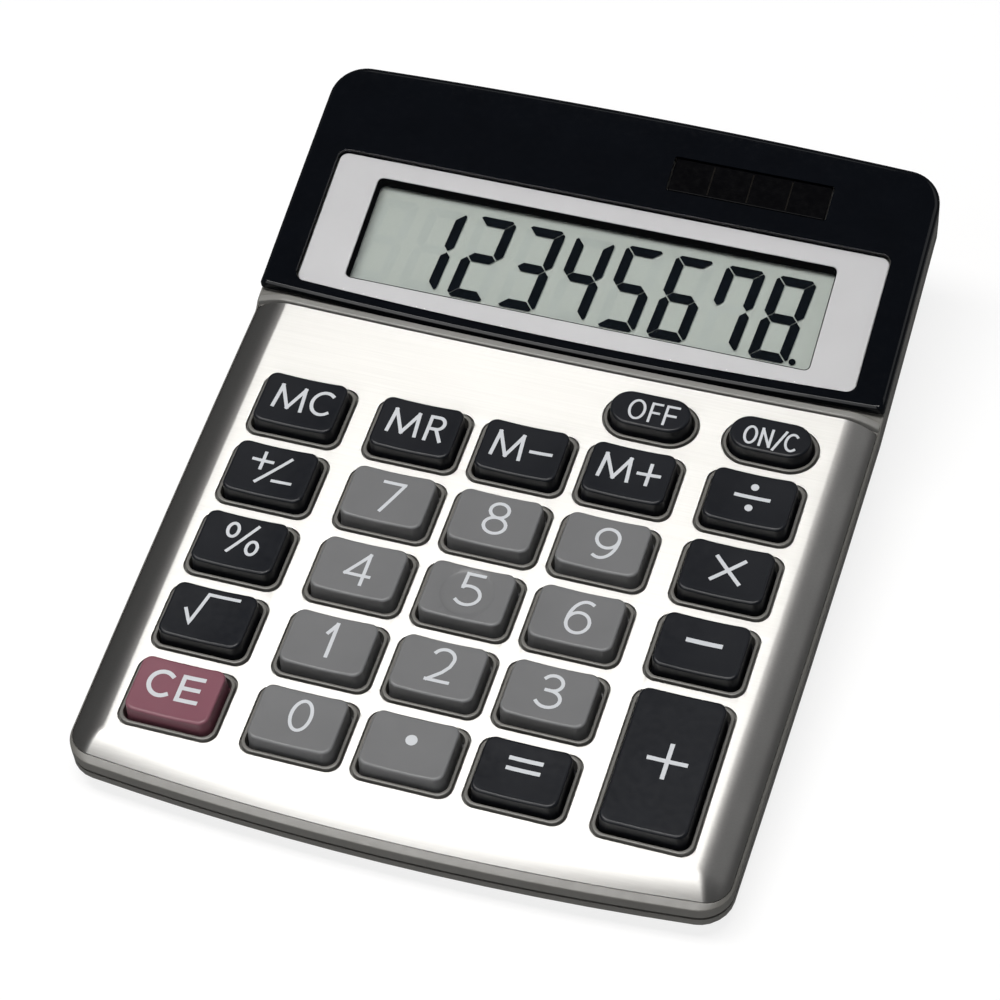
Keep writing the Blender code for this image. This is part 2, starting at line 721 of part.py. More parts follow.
def make_lower_case(materials, deck):
    """Open tub: lower half of the rim, sloping walls, level floor, screw pillars and battery bay."""
    mesh = bmesh.new()
    parting = PARTING_Z - PARTING_GAP
    rows = [
        loop(mesh, case_outline(WALL), lambda x, y: fold_height(y) + parting),
        loop(mesh, case_outline(0.0), lambda x, y: fold_height(y) + parting),
        loop(mesh, case_outline(0.0), lambda x, y: fold_height(y) + RIM_BOTTOM_Z + 1.6),
        loop(mesh, case_outline(0.6), lambda x, y: fold_height(y) + RIM_BOTTOM_Z + 0.45),
        loop(mesh, case_outline(WEDGE_STEP), lambda x, y: fold_height(y) + RIM_BOTTOM_Z),
        loop(mesh, floor_outline(0.0), lambda x, y: floor_height(y)),
    ]
    inner = [
        rows[0],
        loop(mesh, case_outline(WEDGE_STEP + 1.7), lambda x, y: fold_height(y) + RIM_BOTTOM_Z + 1.3),
        loop(mesh, floor_outline(1.7), lambda x, y: floor_height(y, FLOOR_THICK)),
    ]
    tube(mesh, rows)
    tube(mesh, inner)
    fill(mesh, rows[-1])
    fill(mesh, inner[-1])
    lower = finish(mesh, "lower_case", materials["case"], deck)

    pillars = bmesh.new()
    for x, y in CASE_SCREWS:
        top = seat_height(y) + 1.7
        add_cylinder(pillars, (x, y), PILLAR_RADIUS, floor_height(y, 0.9), top)
    add_boolean(lower, finish(pillars, "lower_case_pillars", None, deck), "UNION")

    bay = bmesh.new()
    add_box(bay, (-BAY_HALF, BAY_FRONT, FLOOR_Z + 0.9), (BAY_HALF, DOOR_BACK + 0.6, BAY_TOP))
    add_boolean(lower, finish(bay, "lower_case_bay"), "UNION")

    holes = bmesh.new()
    for x, y in CASE_SCREWS:
        seat = seat_height(y)
        head, shank = HEAD_RADIUS + CLEARANCE, SHANK_RADIUS + CLEARANCE
        rings = ((head, floor_height(y) - 3.0), (head, seat), (shank, seat), (shank, seat + 3.0))
        add_turned(holes, (x, y), rings)
    add_boolean(lower, finish(holes, "lower_case_screw_holes", None, deck), "DIFFERENCE")

    recesses = bmesh.new()
    for x, y in FEET:
        add_cylinder(recesses, (x, y), FOOT_RADIUS + 0.3, -1.0, FOOT_RECESS, 20)
    add_boolean(lower, finish(recesses, "lower_case_foot_recesses"), "DIFFERENCE")

    channel = bmesh.new()
    half, flange = DOOR_HALF + 0.3, DOOR_FLANGE_HALF + 0.3
    profile = (
        (-half, -1.0), (half, -1.0), (half, DOOR_RAIL_Z), (flange, DOOR_RAIL_Z),
        (flange, CHANNEL_TOP_Z), (-flange, CHANNEL_TOP_Z), (-flange, DOOR_RAIL_Z), (-half, DOOR_RAIL_Z),
    )
    add_extrusion(channel, profile, lambda z: DOOR_FRONT - 0.3, lambda z: 75.0)
    add_boolean(lower, finish(channel, "lower_case_door_channel"), "DIFFERENCE")

    nest = bmesh.new()
    add_cylinder(nest, CELL_CENTRE, NEST_RADIUS, CHANNEL_TOP_Z - 0.5, NEST_TOP, 24)
    add_boolean(lower, finish(nest, "lower_case_cell_nest"), "DIFFERENCE")

    slots = bmesh.new()
    add_box(slots, (-1.9, 50.4, NEST_TOP - 1.0), (1.9, 51.4, BAY_TOP + 1.0))
    add_boolean(lower, finish(slots, "lower_case_slot_negative"), "DIFFERENCE")
    slots = bmesh.new()
    add_box(slots, (5.0, 45.2, CHANNEL_TOP_Z - 0.2), (6.9, 48.8, BAY_TOP + 1.0))
    add_boolean(lower, finish(slots, "lower_case_slot_positive"), "DIFFERENCE")
    return lower


def add_extrusion(mesh, profile, front, back):
    """Extrudes an X-Z profile along Y. front and back give the end's Y at each height."""
    rows = [[mesh.verts.new((x, end(z), z)) for x, z in profile] for end in (front, back)]
    band(mesh, rows[0], rows[1])
    for triangle in triangles([profile]):
        for row in rows:
            mesh.faces.new([row[i] for i in triangle])


def make_faceplate(materials, deck):
    """Thin plate with an opening for each collar. Its front and side edges roll down."""
    mesh = bmesh.new()
    back_y = CROSSBAR_FRONT - PLATE_BACK_GAP

    def open_line(inset):
        points = case_outline(inset)
        start = FRONT_STEPS - 1
        right = [p for p in points[start : start + CORNER_STEPS + 5] if p[1] < back_y - 1.0]
        right.append((side_half(back_y) - inset, seam_line(back_y, side_half(back_y) - inset)))
        return mirrored(right) + points[:start] + right

    tops = [loop(mesh, open_line(inset), height) for inset, height in ROLL_OFF]
    bottoms = [loop(mesh, open_line(inset + 0.12), height - PLATE_THICK) for inset, height in ROLL_OFF]
    for rows in (tops, bottoms):
        for first, second in zip(rows, rows[1:]):
            band(mesh, first, second, closed=False)
    band(mesh, tops[-1], bottoms[-1], closed=False)

    back_x = tops[0][-1].co.x
    back = edge_points(lambda x: seam_line(back_y, x), back_x, 6, -1)
    back_top, back_bottom = loop(mesh, back, 0.0), loop(mesh, back, -PLATE_THICK)
    across_top = [row[-1] for row in reversed(tops)] + back_top + [row[0] for row in tops]
    across_bottom = [row[-1] for row in reversed(bottoms)] + back_bottom + [row[0] for row in bottoms]
    band(mesh, across_top, across_bottom, closed=False)

    holes_top, holes_bottom = [], []
    for key in KEYS:
        hole = key_outline(key, 0.0)
        holes_top.append(loop(mesh, hole, 0.0))
        holes_bottom.append(loop(mesh, hole, -PLATE_THICK))
        band(mesh, holes_top[-1], holes_bottom[-1])
    fill(mesh, tops[0] + back_top, holes_top)
    fill(mesh, bottoms[0] + back_bottom, holes_bottom)
    return finish(mesh, "faceplate", materials["plate"], deck)


# Display end


def make_display_panel(materials, deck):
    """Glossy cover of the display end with rounded edges, open for the lens and the solar cell."""
    mesh = bmesh.new()

    def raised(height):
        return lambda x, y: (y - FOLD_Y) * math.tan(DISPLAY_TILT) + height

    def skirt(x, y):
        return raised(DISPLAY_RIM_Z + 0.3 if y >= SKIRT_FRONT else PANEL_BOTTOM)(x, y)

    rows = [
        loop(mesh, display_outline(1.5), raised(PANEL_BOTTOM)),
        loop(mesh, display_outline(1.2), skirt),
        loop(mesh, display_outline(0.0), skirt),
        loop(mesh, display_outline(0.0), raised(-0.3)),
        loop(mesh, display_outline(0.35), raised(0.5)),
        loop(mesh, display_outline(1.3), raised(PANEL_TOP)),
    ]
    tube(mesh, rows)
    lens = bowed_rectangle(LENS_OPENING[:2], LENS_OPENING[2:], LENS_CORNER, 3, LENS_BOW)
    solar = rounded_rectangle(SOLAR_CENTRE, SOLAR_OPENING, 0.4, 1)
    tops, bottoms = [], []
    for hole in (lens, solar):
        tops.append(loop(mesh, display_points(hole, PANEL_TOP), raised(PANEL_TOP)))
        bottoms.append(loop(mesh, display_points(hole, PANEL_BOTTOM), raised(PANEL_BOTTOM)))
        band(mesh, tops[-1], bottoms[-1])
    fill(mesh, rows[-1], tops)
    fill(mesh, rows[0], bottoms)
    return finish(mesh, "display_panel", materials["panel"], deck)


def make_plate_in_display(name, material, display, outer, bottom, top, hole=None):
    """A flat piece parallel to the display plane, with an optional window."""
    mesh = bmesh.new()
    low, high = loop(mesh, outer, bottom), loop(mesh, outer, top)
    band(mesh, low, high)
    if hole:
        hole_low, hole_high = loop(mesh, hole, bottom), loop(mesh, hole, top)
        band(mesh, hole_low, hole_high)
        fill(mesh, low, [hole_low])
        fill(mesh, high, [hole_high])
    else:
        fill(mesh, low)
        fill(mesh, high)
    return finish(mesh, name, material, display)


def make_display_stack(materials, display):
    """Lens, silver frame, LCD holder, LCD and solar cell."""
    lens_size = (LENS_OPENING[2] - 2 * LENS_GAP, LENS_OPENING[3] - 2 * LENS_GAP)
    lens = bowed_rectangle(LENS_OPENING[:2], lens_size, LENS_CORNER - LENS_GAP, 3, LENS_BOW)
    window = rounded_rectangle(LCD_CENTRE, LCD_WINDOW, WINDOW_CORNER, CORNER_SEGMENTS)
    make_plate_in_display("display_lens", materials["lens"], display, lens, LENS_BOTTOM, PANEL_TOP)
    make_plate_in_display(
        "display_frame", materials["frame"], display, lens, FRAME_BOTTOM, FRAME_TOP, window
    )

    mesh = bmesh.new()
    inner_size = (LCD_WINDOW[0] + 0.5, LCD_WINDOW[1] + 0.5)
    pocket = (LCD_SIZE[0] + 0.6, LCD_SIZE[1] + 0.6)
    inner = rounded_rectangle(LCD_CENTRE, inner_size, 1.0, CORNER_SEGMENTS)
    collar = rounded_rectangle(LCD_CENTRE, HOLDER_COLLAR, 1.2, CORNER_SEGMENTS)
    outer = rounded_rectangle(LCD_CENTRE, HOLDER_OUTER, 1.2, CORNER_SEGMENTS)
    hollow = rounded_rectangle(LCD_CENTRE, pocket, 0.4, CORNER_SEGMENTS)
    rows = [
        loop(mesh, inner, HOLDER_TOP),
        loop(mesh, collar, HOLDER_TOP),
        loop(mesh, collar, HOLDER_STEP - 0.1),
        loop(mesh, outer, HOLDER_STEP - 0.1),
        loop(mesh, outer, HOLDER_BOTTOM),
        loop(mesh, hollow, HOLDER_BOTTOM),
        loop(mesh, hollow, LCD_POCKET_TOP),
        loop(mesh, inner, LCD_POCKET_TOP),
    ]
    tube(mesh, rows + [rows[0]])
    finish(mesh, "lcd_holder", materials["holder"], display)

    glass = rounded_rectangle(LCD_CENTRE, LCD_SIZE, 0.2, 1)
    make_plate_in_display("lcd_module", materials["lcd"], display, glass, LCD_BOTTOM, LCD_TOP)
    cell_size = (SOLAR_OPENING[0] - 2 * SOLAR_GAP, SOLAR_OPENING[1] - 2 * SOLAR_GAP)
    cell = rounded_rectangle(SOLAR_CENTRE, cell_size, 0.2, 1)
    make_plate_in_display("solar_cell", materials["solar"], display, cell, SOLAR_BOTTOM, SOLAR_TOP)


# Electronics


def board_holes():
    """Clearance holes in the board round the case bosses, as centre and radius."""
    return [(place, BOSS_RADIUS + 0.4) for place in CASE_SCREWS if place[1] < FOLD_Y]


def make_keypad_pcb(materials, deck):
    x0, y0, x1, y1 = PCB_BOX
    border = rounded_rectangle(((x0 + x1) / 2, (y0 + y1) / 2), (x1 - x0, y1 - y0), 2.0, CORNER_SEGMENTS)
    mesh = bmesh.new()
    low, high = loop(mesh, border, PCB_BOTTOM), loop(mesh, border, PCB_TOP)
    band(mesh, low, high)
    lows, highs = [], []
    for place, radius in board_holes() + [(place, SHANK_RADIUS + 0.3) for place in PCB_SCREWS]:
        hole = circle(place, radius, 12)
        lows.append(loop(mesh, hole, PCB_BOTTOM))
        highs.append(loop(mesh, hole, PCB_TOP))
        band(mesh, lows[-1], highs[-1])
    fill(mesh, low, lows)
    fill(mesh, high, highs)
    finish(mesh, "keypad_pcb", materials["pcb"], deck)

    mesh = bmesh.new()
    add_turned(mesh, CHIP_CENTRE, ((2.8, -9.0), (4.0, -8.5), (4.2, PCB_BOTTOM - 0.3)))
    finish(mesh, "controller_chip", materials["chip"], deck)


def make_rubber_keypad(materials, deck):
    """Sheet with a hollow dome and a plunger for each key. It steps back behind the left rows."""
    x0, x1, y0, y_left, y_right, x_step = -46.0, 46.0, 0.3, 76.6, 83.6, 9.4
    border = [(x0, y0), (x1, y0), (x1, y_right), (x_step, y_right), (x_step, y_left), (x0, y_left)]
    mesh = bmesh.new()
    low, high = loop(mesh, border, RUBBER_BOTTOM), loop(mesh, border, RUBBER_TOP)
    band(mesh, low, high)
    lows, highs = [], []
    places = board_holes() + [(place, PCB_BOSS_RADIUS + 0.4) for place in PCB_SCREWS]
    for place, radius in places:
        hole = circle(place, radius, 10)
        lows.append(loop(mesh, hole, RUBBER_BOTTOM))
        highs.append(loop(mesh, hole, RUBBER_TOP))
        band(mesh, lows[-1], highs[-1])
    for key in KEYS:
        for centre in dome_centres(key):
            outside = (
                (DOME_RADIUS, RUBBER_TOP),
                (DOME_TOP_RADIUS, DOME_TOP),
                (PLUNGER_RADIUS, DOME_TOP),
                (PLUNGER_RADIUS, PLUNGER_TOP),
            )
            inside = ((DOME_HOLLOW_RADIUS, RUBBER_BOTTOM), (DOME_HOLLOW_TOP_RADIUS, DOME_HOLLOW_TOP))
            for rings, openings in ((outside, highs), (inside, lows)):
                rows = [loop(mesh, circle(centre, radius, 6), height) for radius, height in rings]
                tube(mesh, rows)
                fill(mesh, rows[-1])
                openings.append(rows[0])
    fill(mesh, low, lows)
    fill(mesh, high, highs)
    finish(mesh, "rubber_keypad", materials["rubber"], deck)


def make_lcd_flex(materials):
    """Flat ribbon from the board's back edge to the underside of the LCD."""
    cos, sin = math.cos(DISPLAY_TILT), math.sin(DISPLAY_TILT)
    lcd_y, lcd_z = FOLD_Y + 8.0 * cos + 5.55 * sin, 8.0 * sin - 5.55 * cos
    route = [(78.0, -5.85), (84.5, -5.85), (88.5, -6.4), (92.5, -6.3)]
    route += [(lcd_y, lcd_z), (lcd_y + 5.0, lcd_z + 0.94)]
    half_thick = 0.12
    mesh = bmesh.new()
    rows = []
    for i, (y, z) in enumerate(route):
        before, after = route[max(i - 1, 0)], route[min(i + 1, len(route) - 1)]
        along = Vector((after[0] - before[0], after[1] - before[1])).normalized()
        ny, nz = -along.y * half_thick, along.x * half_thick
        low, high = (y - ny, z - nz), (y + ny, z + nz)
        corners = ((-22.0, *low), (4.0, *low), (4.0, *high), (-22.0, *high))
        rows.append([mesh.verts.new(deck_to_world(*point)) for point in corners])
    tube(mesh, rows)
    mesh.faces.new(rows[0])
    mesh.faces.new(rows[-1])
    finish(mesh, "lcd_flex", materials["flex"])


def make_wire(name, material, points, radius=0.55):
    """Insulated wire along a smooth line through the given world points."""
    data = bpy.data.curves.new(name, "CURVE")
    data.dimensions = "3D"
    data.bevel_depth = radius * MM
    data.bevel_resolution = 1
    data.use_fill_caps = True
    data.materials.append(material)
    fine = smooth_line(points, 3)
    spline = data.splines.new("POLY")
    spline.points.add(len(fine) - 1)
    for target, point in zip(spline.points, fine):
        target.co = (*(point * MM), 1.0)
    obj = bpy.data.objects.new(name, data)
    bpy.context.scene.collection.objects.link(obj)
    return obj


def smooth_line(points, steps):
    """Catmull-Rom line through the points."""
    points = [Vector(p) for p in points]
    padded = [2 * points[0] - points[1], *points, 2 * points[-1] - points[-2]]
    fine = []
    for a, b, c, d in zip(padded, padded[1:], padded[2:], padded[3:]):
        for i in range(steps):
            t = i / steps
            square, cube = 2 * a - 5 * b + 4 * c - d, 3 * b - a - 3 * c + d
            fine.append(b + 0.5 * ((c - a) * t + square * t**2 + cube * t**3))
    return fine + [points[-1]]


def make_wires(materials):
    for name, colour, x, board_x in (
        ("solar_wire_positive", "red_wire", 12.3, 16.0),
        ("solar_wire_negative", "black_wire", 10.7, 13.0),
    ):
        make_wire(name, materials[colour], (
            display_to_world(x, WIRE_HOLE[1], -1.1),
            display_to_world(x, WIRE_HOLE[1], -3.2),
            display_to_world(x, WIRE_HOLE[1] - 2.0, -7.0),
            deck_to_world(board_x, 104.0, -5.6),
            deck_to_world(board_x, 94.0, -7.6),
            deck_to_world(board_x, 85.0, -9.0),
            deck_to_world(board_x, 80.0, -8.4),
        ))
    make_wire("battery_wire_negative", materials["black_wire"], (
        Vector((0.0, 50.15, 14.0)),
        Vector((-1.0, 46.0, 14.6)),
        Vector((-4.0, 34.0, 13.2)),
        deck_to_world(-6.0, 92.0, -10.5),
        deck_to_world(-6.0, 85.0, -9.4),
        deck_to_world(-6.0, 79.0, -8.4),
    ))
    make_wire("battery_wire_positive", materials["red_wire"], (
        Vector((7.45, 47.0, 14.0)),
        Vector((9.5, 42.0, 14.6)),
        Vector((9.0, 34.0, 13.2)),
        deck_to_world(6.0, 92.0, -10.5),
        deck_to_world(6.0, 85.0, -9.4),
        deck_to_world(6.0, 79.0, -8.4),
    ))


# Battery, feet and screws


def door_end(z):
    """Y of the battery door's back end, flush with the sloping back wall."""
    return DOOR_BACK + (z - FLOOR_Z) * 0.38


def make_battery(materials):
    profile = (
        (-DOOR_HALF, FLOOR_Z),
        (DOOR_HALF, FLOOR_Z),
        (DOOR_HALF, DOOR_FLANGE_Z),
        (DOOR_FLANGE_HALF, DOOR_FLANGE_Z),
        (DOOR_FLANGE_HALF, DOOR_TOP_Z),
        (-DOOR_FLANGE_HALF, DOOR_TOP_Z),
        (-DOOR_FLANGE_HALF, DOOR_FLANGE_Z),
        (-DOOR_HALF, DOOR_FLANGE_Z),
    )
    mesh = bmesh.new()
    add_extrusion(mesh, profile, lambda z: DOOR_FRONT, door_end)
    middle = (0.0, (DOOR_FRONT + DOOR_BACK) / 2, FLOOR_Z)
    door = finish(mesh, "battery_door", materials["case"], None, middle)
    for number in range(GRIP_COUNT):
        y = GRIP_BACK - number * GRIP_PITCH
        groove = bmesh.new()
        low, high = (-GRIP_HALF, y - GRIP_WIDTH, FLOOR_Z - 1.0), (GRIP_HALF, y, FLOOR_Z + GRIP_DEPTH)
        add_box(groove, low, high)
        add_boolean(door, finish(groove, f"battery_door_grip_{number + 1}"), "DIFFERENCE")

    mesh = bmesh.new()
    step = CELL_BOTTOM + 0.3
    rings = ((4.6, CELL_BOTTOM), (4.6, step), (CELL_RADIUS, step), (CELL_RADIUS, CELL_TOP))
    add_turned(mesh, CELL_CENTRE, rings, 24)
    finish(mesh, "button_cell", materials["cell"])

    strip = ((42.6, 10.4), (51.05, 10.4), (51.05, 14.6), (50.75, 14.6), (50.75, 10.7), (42.6, 10.7))
    mesh = bmesh.new()
    rows = [[mesh.verts.new((x, y, z)) for y, z in strip] for x in (-1.5, 1.5)]
    band(mesh, rows[0], rows[1])
    for row in rows:
        mesh.faces.new(row)
    finish(mesh, "battery_contact_negative", materials["spring"])

    mesh = bmesh.new()
    add_box(mesh, (6.25, 45.6, 4.9), (6.55, 48.4, 14.6))
    finish(mesh, "battery_contact_positive", materials["spring"])


def make_feet(materials):
    for number, (x, y) in enumerate(FEET, 1):
        mesh = bmesh.new()
        add_turned(mesh, (x, y), ((FOOT_RADIUS - 0.4, 0.0), (FOOT_RADIUS, 0.4), (FOOT_RADIUS, FOOT_TOP)), 20)
        finish(mesh, f"foot_{number}", materials["foot"], None, (x, y, 0.0))


def make_screw(name, material, deck, place, seat, top, radii):
    """Pan-head screw that points up out of the floor or the board. radii are its head's and shank's."""
    mesh = bmesh.new()
    head_radius, shank_radius = radii
    rings = (
        (head_radius * 0.7, seat - HEAD_HEIGHT),
        (head_radius, seat - HEAD_HEIGHT * 0.55),
        (head_radius, seat),
        (shank_radius, seat),
        (shank_radius, top - 0.6),
        (shank_radius * 0.4, top),
    )
    add_turned(mesh, place, rings, 8)
    finish(mesh, name, material, deck, (*place, seat))


def make_screws(materials, deck):
    for number, place in enumerate(CASE_SCREWS, 1):
        seat = seat_height(place[1]) - 0.3
        top = boss_bottom(place[1]) + BORE_DEPTH - 0.4
        radii = (HEAD_RADIUS, SHANK_RADIUS)
        make_screw(f"case_screw_{number}", materials["steel"], deck, place, seat, top, radii)
    for number, place in enumerate(PCB_SCREWS, 1):
        seat, top = PCB_BOTTOM - 0.3, RUBBER_BOTTOM + PCB_BORE_DEPTH - 0.4
        make_screw(f"pcb_screw_{number}", materials["steel"], deck, place, seat, top, (1.5, 0.65))


def main():
    clear_scene()
    materials = make_materials()
    deck = make_frame("deck_frame", (0.0, DECK_Y, DECK_Z), DECK_TILT)
    display = make_frame("display_frame_axis", (0.0, FOLD_Y, 0.0), DISPLAY_TILT, deck)
    make_upper_case(materials, deck)
    make_lower_case(materials, deck)
    make_faceplate(materials, deck)
    for key in KEYS:
        make_key(key, materials, deck)
    make_display_panel(materials, deck)
    make_display_stack(materials, display)
    make_keypad_pcb(materials, deck)
    make_rubber_keypad(materials, deck)
    make_lcd_flex(materials)
    make_wires(materials)
    make_battery(materials)
    make_feet(materials)
    make_screws(materials, deck)


main()
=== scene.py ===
"""The looks of the desk calculator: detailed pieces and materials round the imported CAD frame.

Shapes are modelled in millimetres in the frames of the CAD: the deck frame lies on the keyboard plate,
X to the right and Y from the front keys to the display, and the display frame is folded up from it.
Heights and outlines repeat those of the CAD, with finer steps, fillets, dished caps and legends.
"""

import json
import math

import bmesh
import bpy
from mathutils import Euler, Matrix, Vector
from mathutils.geometry import delaunay_2d_cdt


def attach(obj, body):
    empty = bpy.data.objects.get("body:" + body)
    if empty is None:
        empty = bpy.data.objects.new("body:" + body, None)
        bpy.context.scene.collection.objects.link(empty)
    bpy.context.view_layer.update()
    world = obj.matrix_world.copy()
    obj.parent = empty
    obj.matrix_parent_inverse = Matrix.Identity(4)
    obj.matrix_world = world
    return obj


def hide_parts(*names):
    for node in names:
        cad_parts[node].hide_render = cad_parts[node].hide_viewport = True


MM = 0.001
CORNERS = ((1, 1), (-1, 1), (-1, -1), (1, -1))

# Frames. The deck's tilt is read from the keys' line of travel.
DECK_ORIGIN = (0.0, -63.5, 11.2)
FOLD_Y = 88.0
DISPLAY_TILT = math.radians(10.7)

# Outline of the case, seen square to the plate.
HALF_WIDTH = 54.3
WAIST_Y = 95.0
SIDE_BOW = 0.92
FRONT_Y = -9.05
BACK_Y = 135.25
FRONT_BOW = 2.09
BACK_BOW = 0.8
BOW_SPAN = 45.0
FRONT_CORNER = 5.5
BACK_CORNER = 6.2
SIDE_STATIONS = (
    6.0, 18.0, 30.0, 42.0, 54.0, 66.0, 78.0, 86.0, 86.5, 87.0, 87.5, FOLD_Y, 100.0, 112.0, 122.0,
)
SMALLEST_CORNER = 0.7
EDGE_STEPS = 24
CORNER_STEPS = 12

# Seam between the keyboard plate and the display end.
SEAM_BOW = 0.5
SEAM_HALF = 46.0
BAR_FRONT = 86.4
BAR_BACK = 87.75
BAR_TOP = 0.35
BAR_FLAT = 48.9
BAR_END = 5.05
BAR_ROUND = 0.3
BAR_BOTTOM = -1.6
PANEL_FRONT = 88.1
PANEL_BOW = 0.9
PANEL_CORNER = ((0.8, 0.0), (0.25, 0.14), (0.0, 0.5))

# Rim and deck of the upper case, as heights above the plate or the display plane.
LEDGE_INNER = 1.35
LEDGE_INNER_SIDE = 0.38
LEDGE_OUTER_Z = -2.95
LEDGE_INNER_Z = -2.65
DISPLAY_RIM_Z = -1.6
PARTING_Z = -5.3
DECK_INSET = 5.4
DECK_TOP_Z = -0.85
DISPLAY_DECK_Z = -1.05
DECK_THICK = 1.5
WALL = 1.6
RIM_RISE_Y = 86.0
RIM_RISE_SPAN = 2.0
GUTTER_DEPTH = 0.75
GUTTER_CREASE = 0.05
# Insets and heights of the dark line above the parting line, and of the rim's round upper edge.
PARTING_STEPS = ((WALL, 0.0), (0.45, 0.0), (0.45, 0.22), (0.06, 0.22), (0.0, 0.30))
RIM_ROUND = ((0.0, -0.2), (0.05, -0.06), (0.18, 0.02))

# Keyboard plate.
PLATE_THICK = 0.5
PLATE_EDGE = 1.47
PLATE_EDGE_SIDE = 0.5
ROLL_START = 5.45
ROLL_START_SIDE = 6.0
ROLL_CURVE = (0.1873, 0.0740, 0.0113)
ROLL_STEPS = 14
PLATE_BACK_GAP = 0.3
PLATE_HOLE_ROUND = ((-0.1, 0.0), (-0.03, -0.03), (0.0, -0.1))

# Keys: the flange of each CAD key lies this far inside its opening in the plate.
FLANGE_INSET = 0.2
COLLAR_GAP = 0.3
COLLAR_WALL = 0.52
COLLAR_TOP = 0.35
COLLAR_ROUND = ((0.0, -0.16), (0.05, -0.05), (0.16, 0.0))
OPENING_CORNER = 2.3
CAP_INSET = 1.19
CAP_TAPER = 0.2
CAP_TOP = 3.0
CAP_LOW = -2.65
CAP_BOTTOM = -3.4
CAP_WALL = 1.2
CAP_ROOF = 1.0
CAP_FILLET = 0.45
DISH = (0.42, 0.10)
DISH_TALL = (0.2, 0.05)
DISH_PILL = (0.16, 0.0)
TOP_ROWS = 6
FINGER_RADIUS = 4.4
FINGER_DEPTH = 0.09
INK_HEIGHT = 0.025
INK_DEPTH = 0.03

# Display end.
PANEL_TOP = 0.9
PANEL_BOTTOM = -0.7
PANEL_LIP = (
    (0.0, -0.25), (0.0, 0.0), (0.0, 0.25), (0.004, 0.5), (0.01, 0.66), (0.05, 0.735), (0.34, 0.88),
    (0.38, 0.895), (0.43, 0.9),
)
PANEL_ROUND = 1.2
SKIRT_FRONT = 92.0
SKIRT_RAMP = 0.6
PANEL_STATIONS = (SKIRT_FRONT - SKIRT_RAMP, SKIRT_FRONT, 102.0, 112.0, 122.0)
LENS_CENTRE = (0.1, 16.1)
LENS_SIZE = (97.6, 27.9)
LENS_CORNER = 1.75
LENS_BOW = 1.1
LENS_GAP = 0.25
FRAME_TOP = -0.1
FRAME_BOTTOM = -0.6
FRAME_WINDOW_GAP = 0.14
LCD_CENTRE = (-0.05, 16.25)
LCD_WINDOW = (80.8, 19.9)
LCD_SIZE = (85.4, 24.0)
LCD_TOP = -2.95
LCD_BOTTOM = -5.1
HOLDER_TOP = -0.65
HOLDER_BOTTOM = -5.5
HOLDER_LIP_Z = -2.65
HOLDER_COLLAR = (87.6, 26.2)
HOLDER_OUTER = (90.4, 27.4)
SOLAR_CENTRE = (22.4, 37.5)
SOLAR_OPENING = (27.9, 6.9)
SOLAR_GAP = 0.3
SOLAR_TOP = 0.72
SOLAR_LINE = (0.24, 5.6)

# Digits of the display.
DIGIT_HEIGHT = 16.5
DIGIT_WIDTH = 7.0
SEGMENT_WIDTH = 1.9
SEGMENT_CHAMFER = 0.9
SEGMENT_GAP = 0.1
DIGIT_SLANT = math.tan(math.radians(4.7))
DIGIT_PITCH = 8.78
DIGIT_RIGHT = 33.3
DIGIT_LOW = 7.97
POINT_CENTRE = (36.9, 8.7)
POINT_RADIUS = 0.6

# Stage, as the radius and height of its rows, and camera.
FLOOR = ((40.0, 0.0), (150.0, 0.0), (450.0, 0.0))
BACKDROP = ((450.0, 0.0), (2600.0, 0.0), (3300.0, 180.0), (3700.0, 900.0), (3800.0, 2600.0))
CAMERA_PLACE = (117.097, -345.121, 421.316)
CAMERA_TURN = (41.42667, 1.58807, 17.49390)
CAMERA_LENS = 120.68

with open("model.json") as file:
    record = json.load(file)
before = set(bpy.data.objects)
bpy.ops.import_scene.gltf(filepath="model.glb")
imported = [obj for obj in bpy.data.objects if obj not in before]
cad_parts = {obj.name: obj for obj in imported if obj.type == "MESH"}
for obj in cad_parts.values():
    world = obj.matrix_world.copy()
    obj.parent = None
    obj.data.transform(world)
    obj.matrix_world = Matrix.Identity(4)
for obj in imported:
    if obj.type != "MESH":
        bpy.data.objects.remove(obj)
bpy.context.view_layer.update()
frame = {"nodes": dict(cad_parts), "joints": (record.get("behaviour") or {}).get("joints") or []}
press = next(joint for joint in frame["joints"] if joint["name"] == "press_5")
DECK_TILT = math.atan2(press["axis"][1], -press["axis"][2])
DECK = Matrix.Translation(DECK_ORIGIN) @ Matrix.Rotation(DECK_TILT, 4, "X")
DISPLAY = DECK @ Matrix.Translation((0.0, FOLD_Y, 0.0)) @ Matrix.Rotation(DISPLAY_TILT, 4, "X")


# Outlines


def side_half(y):
    """Half of the case's width at Y."""
    return HALF_WIDTH - SIDE_BOW * ((WAIST_Y - y) / WAIST_Y) ** 2


def front_line(x):
    return FRONT_Y + FRONT_BOW * (x / BOW_SPAN) ** 2


def back_line(x):
    return BACK_Y - BACK_BOW * (x / BOW_SPAN) ** 2


def seam_line(y, x, bow=SEAM_BOW):
    """Y of a line across the case that is bowed towards the front in its middle."""
    return y + bow * (x / SEAM_HALF) ** 2


def level(height):
    return lambda x, y: height


def fold_height(y):
    """Height of the keyboard plane and, behind the fold, of the display plane."""
    return max(0.0, y - FOLD_Y) * math.tan(DISPLAY_TILT)


def slope_of(line, t):
    return (line(t + 0.01) - line(t - 0.01)) / 0.02


